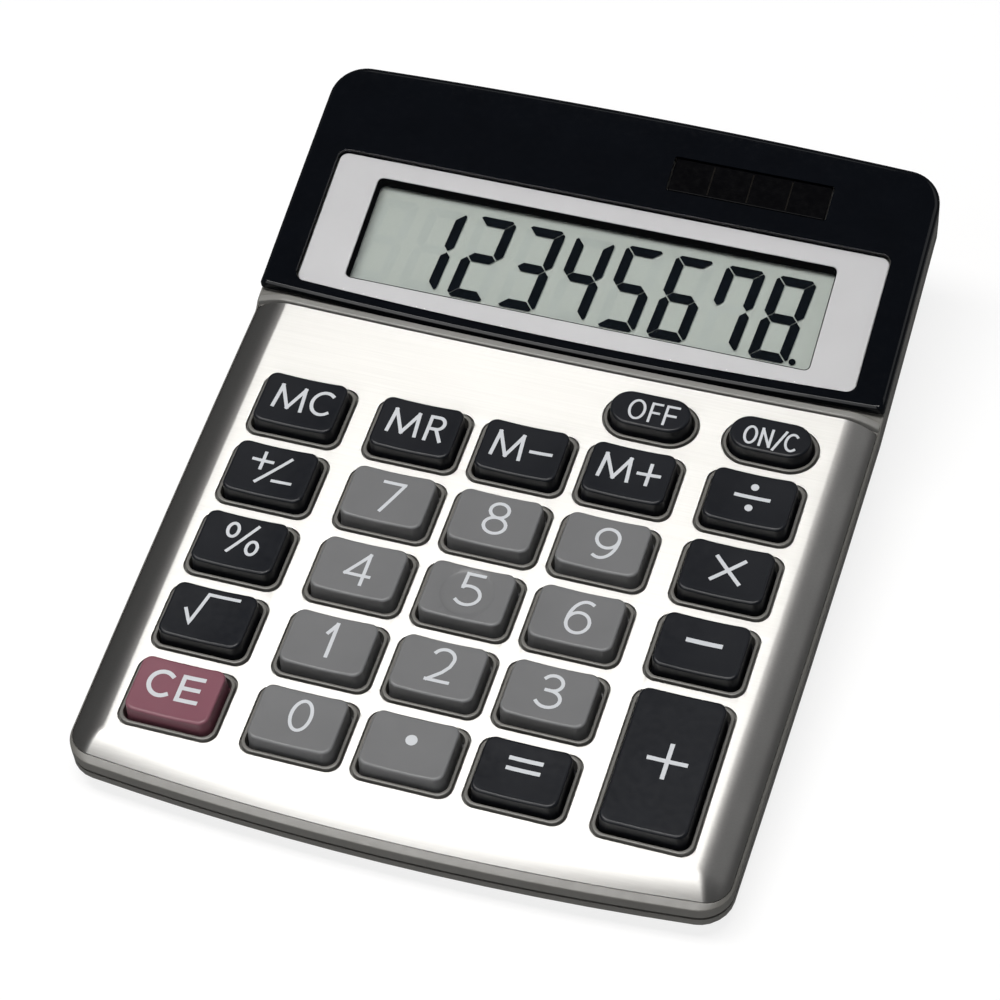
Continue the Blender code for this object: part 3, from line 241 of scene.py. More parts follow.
def corner(side, edge, sign, radius):
    """Centre of the round corner between a side and the front (sign -1) or back (sign 1) edge.

    It returns the centre and the two angles at which the corner meets the edge and the side.
    """
    x, y = side(edge(0.0)) - radius, edge(0.0) - sign * radius
    edge_angle = side_angle = 0.0
    for _ in range(12):
        edge_angle = math.atan2(sign, -sign * slope_of(edge, x + radius * math.cos(edge_angle)))
        side_angle = math.atan2(-slope_of(side, y + radius * math.sin(side_angle)), 1.0)
        x = side(y + radius * math.sin(side_angle)) - radius * math.cos(side_angle)
        y = edge(x + radius * math.cos(edge_angle)) - radius * math.sin(edge_angle)
    return (x, y), edge_angle, side_angle


def arc(centre, radius, start, end, steps):
    """Points on an arc, with angles in radians. radius is a number, or a pair for an ellipse."""
    rx, ry = radius if isinstance(radius, tuple) else (radius, radius)
    angles = [start + (end - start) * i / steps for i in range(steps + 1)]
    return [(centre[0] + rx * math.cos(a), centre[1] + ry * math.sin(a)) for a in angles]


def mirrored(points):
    """The same open line on the left side, in reverse order."""
    return [(-x, y) for x, y in reversed(points)]


def edge_points(edge, x_end, steps, sign):
    """Points across the case on a bowed edge, without its ends, from left to right if sign is 1."""
    xs = [x_end * (2 * i / steps - 1) for i in range(1, steps)]
    return [(sign * x, edge(sign * x)) for x in xs]


def case_half(inset, side_inset=None):
    """Right half of the case's outline moved inwards, from the front corner to the back one.

    The sides move by side_inset if it is given, and everything else by inset.
    """
    side_move = inset if side_inset is None else side_inset
    side = [(side_half(y) - side_move, y) for y in SIDE_STATIONS]
    return round_corner(inset, side_move, -1) + side + round_corner(inset, side_move, 1)


def round_corner(inset, side_move, sign):
    """Points round the right front (sign -1) or back (sign 1) corner of the case, moved inwards."""
    radius = max((BACK_CORNER if sign > 0 else FRONT_CORNER) - inset, SMALLEST_CORNER)
    line = back_line if sign > 0 else front_line
    centre, edge_angle, side_angle = corner(
        lambda y: side_half(y) - side_move, lambda x: line(x) - sign * inset, sign, radius
    )
    return arc(centre, radius, edge_angle, side_angle, CORNER_STEPS)[:: -sign]


def whole_outline(right, front_edge, inset):
    """Closed outline, anticlockwise from the left end of the front edge, with this right half."""
    front = edge_points(front_edge, right[0][0], EDGE_STEPS, 1)
    back = edge_points(lambda x: back_line(x) - inset, right[-1][0], EDGE_STEPS, -1)
    return front + right + back + mirrored(right)


def case_outline(inset, side_inset=None):
    return whole_outline(case_half(inset, side_inset), lambda x: front_line(x) + inset, inset)


def display_outline(inset, front_inset=None):
    """The display end's outline from the seam back, moved inwards by inset."""
    front_y = PANEL_FRONT + (inset if front_inset is None else front_inset)
    front_x = side_half(front_y) - inset

    def seam(x):
        return seam_line(front_y, x, PANEL_BOW)

    right = [(front_x - in_x, seam(front_x - in_x) + back_y) for in_x, back_y in PANEL_CORNER]
    right += [(side_half(y) - inset, y) for y in PANEL_STATIONS]
    return whole_outline(right + round_corner(inset, inset, 1), seam, inset)


def rounded_rectangle(centre, size, radius, segments=8, side_steps=1):
    """Anticlockwise outline of a rectangle with round corners and subdivided sides."""
    half_x, half_y = size[0] / 2 - radius, size[1] / 2 - radius
    points = []
    for quarter, (sx, sy) in enumerate(CORNERS):
        middle = (centre[0] + sx * half_x, centre[1] + sy * half_y)
        start = quarter * math.pi / 2
        points += arc(middle, radius, start, start + math.pi / 2, segments)
        along = (-sx * 2 * half_x, 0.0) if quarter % 2 == 0 else (0.0, -sy * 2 * half_y)
        x, y = points[-1]
        for i in range(1, side_steps):
            points.append((x + along[0] * i / side_steps, y + along[1] * i / side_steps))
    return points


def circle(centre, radius, segments):
    return arc(centre, radius, 0.0, 2 * math.pi * (segments - 1) / segments, segments - 1)


def round_over(inset, radius, steps):
    """Insets and heights below the top of a quarter round."""
    angles = [math.pi / 2 * i / steps for i in range(steps + 1)]
    return [(inset + radius * (1 - math.cos(a)), radius * math.sin(a) - radius) for a in angles]


# Mesh building


def loop(mesh, points, height):
    """Vertices on an outline. height is a number, or a function of X and Y."""
    return [mesh.verts.new((x, y, height(x, y) if callable(height) else height)) for x, y in points]


def band(mesh, lower, upper, closed=True):
    """Quads between two rows of vertices of the same length."""
    count = len(lower) if closed else len(lower) - 1
    for i in range(count):
        j = (i + 1) % len(lower)
        mesh.faces.new((lower[i], lower[j], upper[j], upper[i]))


def tube(mesh, rows, closed=True):
    """Bands through a list of rows of vertices."""
    for lower, upper in zip(rows, rows[1:]):
        band(mesh, lower, upper, closed)


def fill(mesh, border, holes=()):
    """Triangles inside a border, seen along Z, that leave the holes open."""
    loops = [border, *holes]
    vertices = [vertex for row in loops for vertex in row]
    points, outlines = [vertex.co.xy for vertex in vertices], []
    for row in loops:
        start = outlines[-1][-1] + 1 if outlines else 0
        outlines.append(list(range(start, start + len(row))))
    _, _, faces, sources, _, owners = delaunay_2d_cdt(points, [], outlines, 1, 1e-7)
    for face, owner in zip(faces, owners):
        if owner == [0]:
            mesh.faces.new([vertices[sources[i][0]] for i in face])


def plates(mesh, outlines, low, high):
    """Solid between two heights, which are functions of X and Y, over the union of closed outlines."""
    points, faces = [], []
    for outline in outlines:
        faces.append(list(range(len(points), len(points) + len(outline))))
        points += [Vector(point) for point in outline]
    points, _, triangles, _, _, owners = delaunay_2d_cdt(points, [], faces, 1, 1e-5)
    triangles = [triangle for triangle, owner in zip(triangles, owners) if owner]
    lows = [mesh.verts.new((p.x, p.y, low(p.x, p.y))) for p in points]
    highs = [mesh.verts.new((p.x, p.y, high(p.x, p.y))) for p in points]
    edges = {}
    for triangle in triangles:
        mesh.faces.new([highs[i] for i in triangle])
        mesh.faces.new([lows[i] for i in reversed(triangle)])
        edges.update(dict.fromkeys(zip(triangle, triangle[1:] + triangle[:1])))
    for i, j in edges:
        if (j, i) not in edges:
            mesh.faces.new((lows[i], lows[j], highs[j], highs[i]))
    for vertex in [v for v in mesh.verts if not v.link_faces]:
        mesh.verts.remove(vertex)


def wall(mesh, outline, profile):
    """Rows of vertices through a list of (inset, height), with bands between them."""
    rows = [loop(mesh, outline(inset), height) for inset, height in profile]
    tube(mesh, rows)
    return rows


def solid(mesh, outline, profile):
    """Closed solid through a list of (inset, height), from its flat bottom to its flat top."""
    rows = wall(mesh, outline, profile)
    fill(mesh, rows[0])
    fill(mesh, rows[-1])


def finish(mesh, name, look, place=DECK, replaces=(), angle=30.0, body="housing"):
    """Turns a bmesh in millimetres into a piece that rides on a CAD body."""
    bmesh.ops.recalc_face_normals(mesh, faces=mesh.faces)
    bmesh.ops.transform(mesh, matrix=Matrix.Scale(MM, 4) @ place, verts=mesh.verts)
    data = bpy.data.meshes.new(name)
    mesh.to_mesh(data)
    mesh.free()
    data.shade_smooth()
    data.set_sharp_from_angle(angle=math.radians(angle))
    data.materials.append(LOOKS[look])
    obj = bpy.data.objects.new(name, data)
    bpy.context.scene.collection.objects.link(obj)
    modifier = obj.modifiers.new("flat_faces_stay_flat", "WEIGHTED_NORMAL")
    modifier.keep_sharp = True
    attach(obj, body)
    if replaces:
        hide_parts(*replaces)
    return obj


# Materials


class Shader:
    """A Principled material with procedural detail in object space, which is metres."""

    def __init__(self, name, colour, roughness, **sockets):
        self.material = bpy.data.materials.new(name)
        self.material.use_nodes = True
        self.nodes = self.material.node_tree.nodes
        self.shader = self.nodes["Principled BSDF"]
        self.colour = colour
        self.roughness = roughness
        self.shader.inputs["Base Color"].default_value = (*colour, 1.0)
        self.shader.inputs["Roughness"].default_value = roughness
        for socket, value in sockets.items():
            self.shader.inputs[socket.replace("_", " ")].default_value = value
        self.material.diffuse_color = (*colour, 1.0)
        self.place = self.nodes.new("ShaderNodeTexCoord").outputs["Object"]

    def node(self, kind, **inputs):
        """A new node with values for its inputs. An underscore stands for a space in their names."""
        node = self.nodes.new(kind)
        for socket, value in inputs.items():
            node.inputs[socket.replace("_", " ")].default_value = value
        return node

    def feed(self, source, node, name):
        self.material.node_tree.links.new(source, node.inputs[name])

    def noise(self, scale, detail=2.0, stretch=(1.0, 1.0, 1.0)):
        """Noise with a scale in cells per metre, which may be stretched along an axis."""
        mapping = self.node("ShaderNodeMapping", Scale=stretch)
        noise = self.node("ShaderNodeTexNoise", Scale=scale, Detail=detail)
        self.feed(self.place, mapping, "Vector")
        self.feed(mapping.outputs["Vector"], noise, "Vector")
        return noise.outputs["Fac"]

    def vary_colour(self, source, low, high):
        """Lets the colour run from low to high times its own value."""
        ramp = self.nodes.new("ShaderNodeValToRGB")
        for element, position, factor in zip(ramp.color_ramp.elements, (0.3, 0.7), (low, high)):
            element.position = position
            element.color = (*(c * factor for c in self.colour), 1.0)
        self.feed(source, ramp, "Fac")
        self.feed(ramp.outputs["Color"], self.shader, "Base Color")

    def vary_roughness(self, source, spread):
        low, high = self.roughness - spread, self.roughness + spread
        span = self.node("ShaderNodeMapRange", From_Min=0.3, From_Max=0.7, To_Min=low, To_Max=high)
        self.feed(source, span, "Value")
        self.feed(span.outputs["Result"], self.shader, "Roughness")

    def bump(self, source, depth, strength=1.0):
        """Bump of a depth in millimetres."""
        bump = self.node("ShaderNodeBump", Distance=depth * MM, Strength=strength)
        self.feed(source, bump, "Height")
        self.feed(bump.outputs["Normal"], self.shader, "Normal")


def plastic(name, colour, roughness, grain=0.004, variation=0.05, specular=0.5, **sockets):
    """Moulded plastic with a fine spark-eroded grain and slightly uneven gloss."""
    shader = Shader(name, colour, roughness, Specular_IOR_Level=specular, **sockets)
    fine = shader.noise(5200.0)
    shader.vary_colour(shader.noise(160.0, 3.0), 1.0 - variation, 1.0 + variation)
    shader.vary_roughness(shader.noise(900.0), 0.04)
    shader.bump(fine, grain)
    return shader.material


def metal(name, colour, roughness, stretch=(1.0, 1.0, 1.0), grain=0.002, **sockets):
    """Bare metal, with streaks where the noise is stretched."""
    shader = Shader(name, colour, roughness, Metallic=1.0, **sockets)
    streaks = shader.noise(900.0, 3.0, stretch)
    shader.vary_colour(streaks, 0.94, 1.04)
    shader.vary_roughness(streaks, 0.05)
    shader.bump(streaks, grain)
    return shader.material


def brushed_plate():
    """Brushed metal: fine scratches run from left to right, so light spreads from front to back."""
    shader = Shader("brushed_plate", (0.522, 0.515, 0.499), 0.44, Metallic=1.0, Anisotropic=0.9)
    streaks = shader.noise(60.0, 4.0, (1.0, 70.0, 70.0))
    broad = shader.noise(14.0, 2.0, (1.0, 6.0, 6.0))
    shader.vary_colour(streaks, 0.955, 1.03)
    shader.vary_roughness(broad, 0.02)
    shader.bump(streaks, 0.004, 0.5)
    across = shader.node("ShaderNodeCombineXYZ", Y=math.cos(DECK_TILT), Z=math.sin(DECK_TILT))
    shader.feed(across.outputs["Vector"], shader.shader, "Tangent")
    return shader.material


def lcd_reflector():
    shader = Shader("lcd_reflector", (0.565, 0.62, 0.58), 0.5, Specular_IOR_Level=0.2)
    shader.vary_colour(shader.noise(2600.0, 3.0), 0.97, 1.03)
    shader.vary_roughness(shader.noise(900.0), 0.05)
    return shader.material


def make_materials():
    return {
        "case": plastic("case_plastic", (0.140, 0.136, 0.126), 0.40),
        "bar": plastic("bar_plastic", (0.225, 0.222, 0.212), 0.36, 0.003),
        "plate": brushed_plate(),
        "panel": plastic("panel_plastic", (0.0025, 0.0032, 0.0048), 0.09, 0.0001, 0.1, 0.27),
        "lens": plastic("lens_acrylic", (0.02, 0.022, 0.024), 0.05, 0.0003, 0.01, Alpha=0.04),
        "frame": plastic("frame_paint", (0.57, 0.57, 0.585), 0.42, 0.003, 0.015, Metallic=0.1),
        "holder": plastic("holder_plastic", (0.003, 0.003, 0.003), 0.9, specular=0.0),
        "lcd": lcd_reflector(),
        "glass": plastic("lcd_glass", (0.02, 0.03, 0.025), 0.06, 0.0002, 0.01, Alpha=0.05),
        "digit": plastic("lcd_segment", (0.0015, 0.003, 0.006), 0.6, 0.001, 0.2, 0.02),
        "ghost": plastic("lcd_segment_off", (0.535, 0.59, 0.56), 0.5, 0.001, 0.04, 0.2),
        "solar": plastic("solar_glass", (0.0012, 0.0012, 0.0016), 0.14, 0.0004, 0.2, 0.25),
        "solar_line": metal("solar_grid", (0.010, 0.009, 0.008), 0.4),
        "number": plastic("key_grey_plastic", (0.155, 0.157, 0.161), 0.36, 0.003, 0.03, 0.35),
        "function": plastic("key_charcoal_plastic", (0.007, 0.008, 0.011), 0.34, 0.003, 0.1, 0.27),
        "clear": plastic("key_maroon_plastic", (0.20, 0.075, 0.10), 0.36, 0.003, 0.04, 0.35),
        "legend": plastic("legend_ink", (0.57, 0.59, 0.62), 0.45, 0.001, 0.02),
        "rubber": plastic("keypad_silicone", (0.50, 0.51, 0.50), 0.6, 0.01, 0.04),
        "foot": plastic("foot_rubber", (0.022, 0.022, 0.023), 0.75, 0.02, 0.15),
        "steel": metal("screw_steel", (0.50, 0.50, 0.50), 0.32, (1.0, 1.0, 8.0)),
        "cell": metal("cell_steel", (0.70, 0.70, 0.68), 0.24),
        "spring": metal("contact_nickel", (0.62, 0.58, 0.50), 0.28, (6.0, 1.0, 1.0)),
        "pcb": plastic("board_laminate", (0.03, 0.16, 0.06), 0.4, 0.006, 0.15),
        "chip": plastic("chip_resin", (0.01, 0.01, 0.01), 0.3, 0.01, 0.3),
        "flex": plastic("flex_film", (0.42, 0.22, 0.05), 0.35, 0.002, 0.1),
        "wire_red": plastic("wire_red_sleeve", (0.42, 0.02, 0.02), 0.45, 0.003, 0.08),
        "wire_black": plastic("wire_black_sleeve", (0.015, 0.015, 0.015), 0.45, 0.003, 0.2),
    }


LOOKS = make_materials()


# Upper case


def ease(t):
    t = min(max(t, 0.0), 1.0)
    return t * t * (3 - 2 * t)


def rim_top(y, ledge):
    """Height of the upper case's rim: a ledge beside the plate, and a higher one beside the display."""
    return fold_height(y) + ledge + (DISPLAY_RIM_Z - ledge) * ease((y - RIM_RISE_Y) / RIM_RISE_SPAN)


def gutter_floor(x, y):
    """Height of the groove under the plate's rolled edge. Beside the display it is only a crease."""
    rise = ease((y - RIM_RISE_Y) / RIM_RISE_SPAN)
    return rim_top(y, LEDGE_INNER_Z) - GUTTER_DEPTH + (GUTTER_DEPTH - GUTTER_CREASE) * rise


def deck_top(x, y):
    return fold_height(y) + (DISPLAY_DECK_Z if y > FOLD_Y - 0.3 else DECK_TOP_Z)


def deck_bottom(x, y):
    return deck_top(x, y) - DECK_THICK


def display_points(points, n):
    """Deck X and Y of points of the display plane at height n above it."""
    cos, sin = math.cos(DISPLAY_TILT), math.sin(DISPLAY_TILT)
    return [(x, FOLD_Y + s * cos - n * sin) for x, s in points]


def fill_folded(mesh, points, row, front_holes, back_holes):
    """Fills an outline in two flat parts that meet at the fold."""
    front = [vertex for (_, y), vertex in zip(points, row) if y <= FOLD_Y + 1e-6]
    back = [vertex for (_, y), vertex in zip(points, row) if y >= FOLD_Y - 1e-6]
    fill(mesh, front, front_holes)
    fill(mesh, back, back_holes)


def make_upper_case(keys):
    mesh = bmesh.new()

    def above_parting(height):
        return lambda x, y: fold_height(y) + (PARTING_Z + height)

    def above_ledge(height):
        return lambda x, y: rim_top(y, LEDGE_OUTER_Z) + height

    rows = [loop(mesh, case_outline(inset), above_parting(height)) for inset, height in PARTING_STEPS]
    rows += [loop(mesh, case_outline(inset), above_ledge(height)) for inset, height in RIM_ROUND]
    ledge, gutter = (LEDGE_INNER, LEDGE_INNER_SIDE), (LEDGE_INNER + 0.05, LEDGE_INNER_SIDE + 0.05)
    rows.append(loop(mesh, case_outline(*ledge), lambda x, y: rim_top(y, LEDGE_INNER_Z)))
    rows.append(loop(mesh, case_outline(*gutter), gutter_floor))
    top_points, under_points = case_outline(DECK_INSET), case_outline(DECK_INSET + 0.2)
    top, under = loop(mesh, top_points, deck_top), loop(mesh, under_points, deck_bottom)
    tube(mesh, [*rows, top])
    band(mesh, rows[0], under)
    outer_wall = COLLAR_GAP + COLLAR_WALL
    steps = [(COLLAR_GAP, DECK_TOP_Z)]
    steps += [(COLLAR_GAP + inset, COLLAR_TOP + height) for inset, height in COLLAR_ROUND]
    steps += [(outer_wall - inset, COLLAR_TOP + height) for inset, height in reversed(COLLAR_ROUND)]
    steps.append((outer_wall, DECK_TOP_Z - DECK_THICK))
    feet, bottoms = [], []
    for key in keys:
        collar = wall(mesh, key.outline, steps)
        feet.append(collar[0])
        bottoms.append(collar[-1])
    size = (LCD_SIZE[0] + 2.9, LCD_SIZE[1] + 3.3)
    hole = display_points(rounded_rectangle(LCD_CENTRE, size, 1.2), DISPLAY_DECK_Z - DECK_THICK / 2)
    hole_top, hole_bottom = loop(mesh, hole, deck_top), loop(mesh, hole, deck_bottom)
    band(mesh, hole_top, hole_bottom)
    fill_folded(mesh, top_points, top, feet, [hole_top])
    fill_folded(mesh, under_points, under, bottoms, [hole_bottom])
    finish(mesh, "case_top", "case", DECK, ["upper_case"], 40.0)


def make_seam_bar():
    """Bar between plate and display end, with round top edges. Its ends run down to the rim."""
    mesh = bmesh.new()
    flat = [x * 4.0 for x in range(13)]
    ends = [BAR_FLAT + BAR_END * i / 12 for i in range(1, 13)]
    xs = [-x for x in reversed(flat[1:] + ends)] + flat + ends
    rows = []
    for x in xs:
        fall = max(0.0, (abs(x) - BAR_FLAT) / 5.0) ** 1.5
        top, low = BAR_TOP - 1.75 * fall, BAR_BOTTOM - 1.9 * fall
        front, back = seam_line(BAR_FRONT, x), seam_line(BAR_BACK, x)
        profile = [(front, low), (back, low)]
        profile += arc((back - BAR_ROUND, top - BAR_ROUND), BAR_ROUND, 0.0, math.pi / 2, 4)
        profile += arc((front + BAR_ROUND, top - BAR_ROUND), BAR_ROUND, math.pi / 2, math.pi, 4)
        rows.append([mesh.verts.new((x, y, z)) for y, z in profile])
    tube(mesh, rows)
    mesh.faces.new(rows[0])
    mesh.faces.new(rows[-1])
    finish(mesh, "seam_bar", "bar", DECK, [], 40.0)


def roll_height(inset):
    """Height of the plate's rolled edge at an inset from the case's outline."""
    depth = ROLL_START - inset
    return -sum(factor * depth ** (power + 1) for power, factor in enumerate(ROLL_CURVE))


def make_plate(keys):
    mesh = bmesh.new()
    back_y = BAR_FRONT - PLATE_BACK_GAP
    side_stretch = (ROLL_START_SIDE - PLATE_EDGE_SIDE) / (ROLL_START - PLATE_EDGE)

    def open_line(inset):
        side_inset = ROLL_START_SIDE - (ROLL_START - inset) * side_stretch
        right = [p for p in case_half(inset, side_inset) if p[1] < back_y - 0.6]
        right.append((side_half(back_y) - side_inset, seam_line(back_y, side_half(back_y) - side_inset)))
        front = edge_points(lambda x: front_line(x) + inset, right[0][0], EDGE_STEPS, 1)
        return mirrored(right) + front + right

    insets = [ROLL_START + (PLATE_EDGE - ROLL_START) * i / ROLL_STEPS for i in range(ROLL_STEPS + 1)]
    tops = [loop(mesh, open_line(inset), roll_height(inset)) for inset in insets]
    bottoms = [loop(mesh, open_line(inset + 0.12), roll_height(inset) - PLATE_THICK) for inset in insets]
    tube(mesh, tops, closed=False)
    tube(mesh, bottoms, closed=False)
    band(mesh, tops[-1], bottoms[-1], closed=False)
    back = edge_points(lambda x: seam_line(back_y, x), tops[0][-1].co.x, EDGE_STEPS, -1)
    back_top, back_bottom = loop(mesh, back, 0.0), loop(mesh, back, -PLATE_THICK)
    top_ends, bottom_ends = (
        [row[-1] for row in reversed(rows)] + middle + [row[0] for row in rows]
        for rows, middle in ((tops, back_top), (bottoms, back_bottom))
    )
    band(mesh, top_ends, bottom_ends, closed=False)
    holes_top, holes_bottom = [], []
    for key in keys:
        rows = wall(mesh, key.outline, [*PLATE_HOLE_ROUND, (0.0, -PLATE_THICK)])
        holes_top.append(rows[0])
        holes_bottom.append(rows[-1])
    fill(mesh, tops[0] + back_top, holes_top)
    fill(mesh, bottoms[0] + back_bottom, holes_bottom)
    plate = finish(mesh, "brushed_plate", "plate", DECK, ["faceplate"])
    plate.visible_diffuse = False


# Keys


class Key:
    """A key as the frame gives it: its body, its opening in the plate and the shape of its dish."""

    def __init__(self, name):
        self.name = name
        to_deck = DECK.inverted() @ Matrix.Scale(1 / MM, 4)
        points = [to_deck @ vertex.co for vertex in frame["nodes"][name].data.vertices]
        low = Vector(min(p[i] for p in points) for i in range(2))
        high = Vector(max(p[i] for p in points) for i in range(2))
        self.centre = (low + high) / 2
        self.size = high - low + Vector((2 * FLANGE_INSET, 2 * FLANGE_INSET))
        self.pill = self.size.y < 11.0
        self.tall = self.size.y > 20.0
        self.label = name[len("key_") :]

    def outline(self, inset):
        """The outline of the opening moved inwards by inset. A pill keeps its full round ends."""
        size = (self.size.x - 2 * inset, self.size.y - 2 * inset)
        if self.pill:
            return rounded_rectangle(self.centre, size, size[1] / 2 - 0.02, 12, 6)
        return rounded_rectangle(self.centre, size, max(OPENING_CORNER - inset / 2, 0.3), 8, 8)

    def top(self, x, y):
        """Height of the dished top. It is lowest along the middle of the cap."""
        u = (x - self.centre.x) / (self.size.x / 2 - CAP_INSET - CAP_TAPER)
        v = (y - self.centre.y) / (self.size.y / 2 - CAP_INSET - CAP_TAPER)
        depth_x, depth_y = DISH_PILL if self.pill else DISH_TALL if self.tall else DISH
        return CAP_TOP - depth_x * max(0.0, 1 - u * u) - depth_y * max(0.0, 1 - v * v)


def make_cap(key, look):
    """A hollow cap with drafted walls, a fillet and a dished top."""
    mesh = bmesh.new()
    skirt = [(FLANGE_INSET, CAP_BOTTOM), (FLANGE_INSET, CAP_LOW), (CAP_INSET, CAP_LOW)]
    rows = [loop(mesh, key.outline(inset), height) for inset, height in skirt]
    fillet = round_over(CAP_INSET + CAP_TAPER, CAP_FILLET, 7)
    fillet[0] = (CAP_INSET + CAP_TAPER - 0.02, -CAP_FILLET)
    for inset, drop in fillet:
        rows.append(loop(mesh, key.outline(inset), lambda x, y, drop=drop: key.top(x, y) + drop))
    reach = min(key.size) / 2 - 0.6
    start = CAP_INSET + CAP_TAPER + CAP_FILLET
    for i in range(1, TOP_ROWS):
        rows.append(loop(mesh, key.outline(start + (reach - start) * i / TOP_ROWS), key.top))
    if key.label == "5":
        tube(mesh, rows[: 1 - TOP_ROWS])
        recess = [(FINGER_RADIUS, 0.0), (FINGER_RADIUS - 0.08, 0.035), (FINGER_RADIUS - 0.3, FINGER_DEPTH)]
        recess += [(radius, FINGER_DEPTH) for radius in (3.4, 2.2, 1.1)]
        rounds = [
            loop(mesh, circle(key.centre, radius, 56), lambda x, y, drop=drop: key.top(x, y) - drop)
            for radius, drop in recess
        ]
        for row in rows[1 - TOP_ROWS :]:
            bmesh.ops.delete(mesh, geom=row, context="VERTS")
        fill(mesh, rows[-TOP_ROWS], [rounds[0]])
        tube(mesh, rounds)
        fill(mesh, rounds[-1])
    else:
        tube(mesh, rows)
        fill(mesh, rows[-1])
    hollow = key.outline(CAP_INSET + CAP_WALL)
    inner = [loop(mesh, hollow, CAP_BOTTOM), loop(mesh, hollow, CAP_ROOF)]
    tube(mesh, [rows[0], *inner])
    fill(mesh, inner[-1])
    finish(mesh, "cap_" + key.label, look, DECK, [key.name], 35.0, key.name)


# Legends: lines through points in a unit box, scaled to each place.


def degrees_arc(cx, cy, rx, ry, start, end, steps=16):
    return arc((cx, cy), (rx, ry), math.radians(start), math.radians(end), steps)


def ring(cx, cy, rx, ry):
    return [degrees_arc(cx, cy, rx, ry, -8, 188, 20), degrees_arc(cx, cy, rx, ry, 172, 368, 20)]



def strokes(*points):
    """Separate strokes from each point to the next."""
    return [list(ends) for ends in zip(points, points[1:])]


STEM = [(0.0, 0.0), (0.0, 1.0)]
HEAD = [(0.0, 1.0), (1.0, 1.0)]
WAIST = [(0.0, 0.5), (1.0, 0.5)]
FOOT = [(0.0, 0.0), (1.0, 0.0)]
RISE = [(0.0, 0.0), (1.0, 1.0)]
SIX = [*ring(0.5, 0.32, 0.5, 0.32), degrees_arc(0.66, 0.36, 0.66, 0.64, 178, 68)]
GLYPHS = {
    "0": ring(0.5, 0.5, 0.5, 0.5),
    "1": [[(0.7, 0.0), (0.7, 1.0)], [(0.66, 0.98), (0.06, 0.70)]],
    "2": [[*degrees_arc(0.47, 0.73, 0.48, 0.27, 152, -18), (0.86, 0.50), (0.60, 0.29), (0.04, 0.0)], FOOT],
    "3": [
        degrees_arc(0.44, 0.765, 0.46, 0.235, 150, -90),
        degrees_arc(0.42, 0.265, 0.58, 0.265, 90, -148),
        [(0.22, 0.53), (0.46, 0.53)],
    ],
    "4": strokes((0.76, 0.0), (0.76, 1.0), (0.0, 0.29), (1.0, 0.29)),
    "5": [*strokes((0.90, 1.0), (0.12, 1.0), (0.08, 0.55)), degrees_arc(0.40, 0.31, 0.60, 0.31, 122, -138)],
    "6": SIX,
    "7": [HEAD, [(0.99, 0.98), (0.26, 0.0)]],
    "8": ring(0.5, 0.765, 0.42, 0.235) + ring(0.5, 0.265, 0.5, 0.265),
    "9": [[(1 - u, 1 - v) for u, v in line] for line in SIX],
    "M": strokes((0.02, 0.0), (0.10, 0.98), (0.50, 0.04), (0.90, 0.98), (0.98, 0.0)),
    "C": [degrees_arc(0.60, 0.5, 0.60, 0.5, 52, 308, 24)],
    "R": [
        STEM,
        [(0.0, 1.0), (0.5, 1.0), *degrees_arc(0.5, 0.745, 0.42, 0.255, 80, -80, 12)]
        + [(0.5, 0.49), (0.0, 0.49)],
        [(0.52, 0.47), (0.97, 0.0)],
    ],
    "E": [STEM, HEAD, [(0.0, 0.52), (0.92, 0.52)], FOOT],
    "F": [STEM, HEAD, [(0.0, 0.50), (0.88, 0.50)]],
    "N": [STEM, [(0.02, 0.98), (0.98, 0.02)], [(1.0, 0.0), (1.0, 1.0)]],
    "/": [RISE],
    "x": [RISE, [(0.0, 1.0), (1.0, 0.0)]],
    "-": [WAIST],
    "+": [WAIST, [(0.5, 0.0), (0.5, 1.0)]],
    "root": [[(0.0, 0.40), (0.17, 0.0), (0.35, 1.0), (1.0, 1.0)]],
}
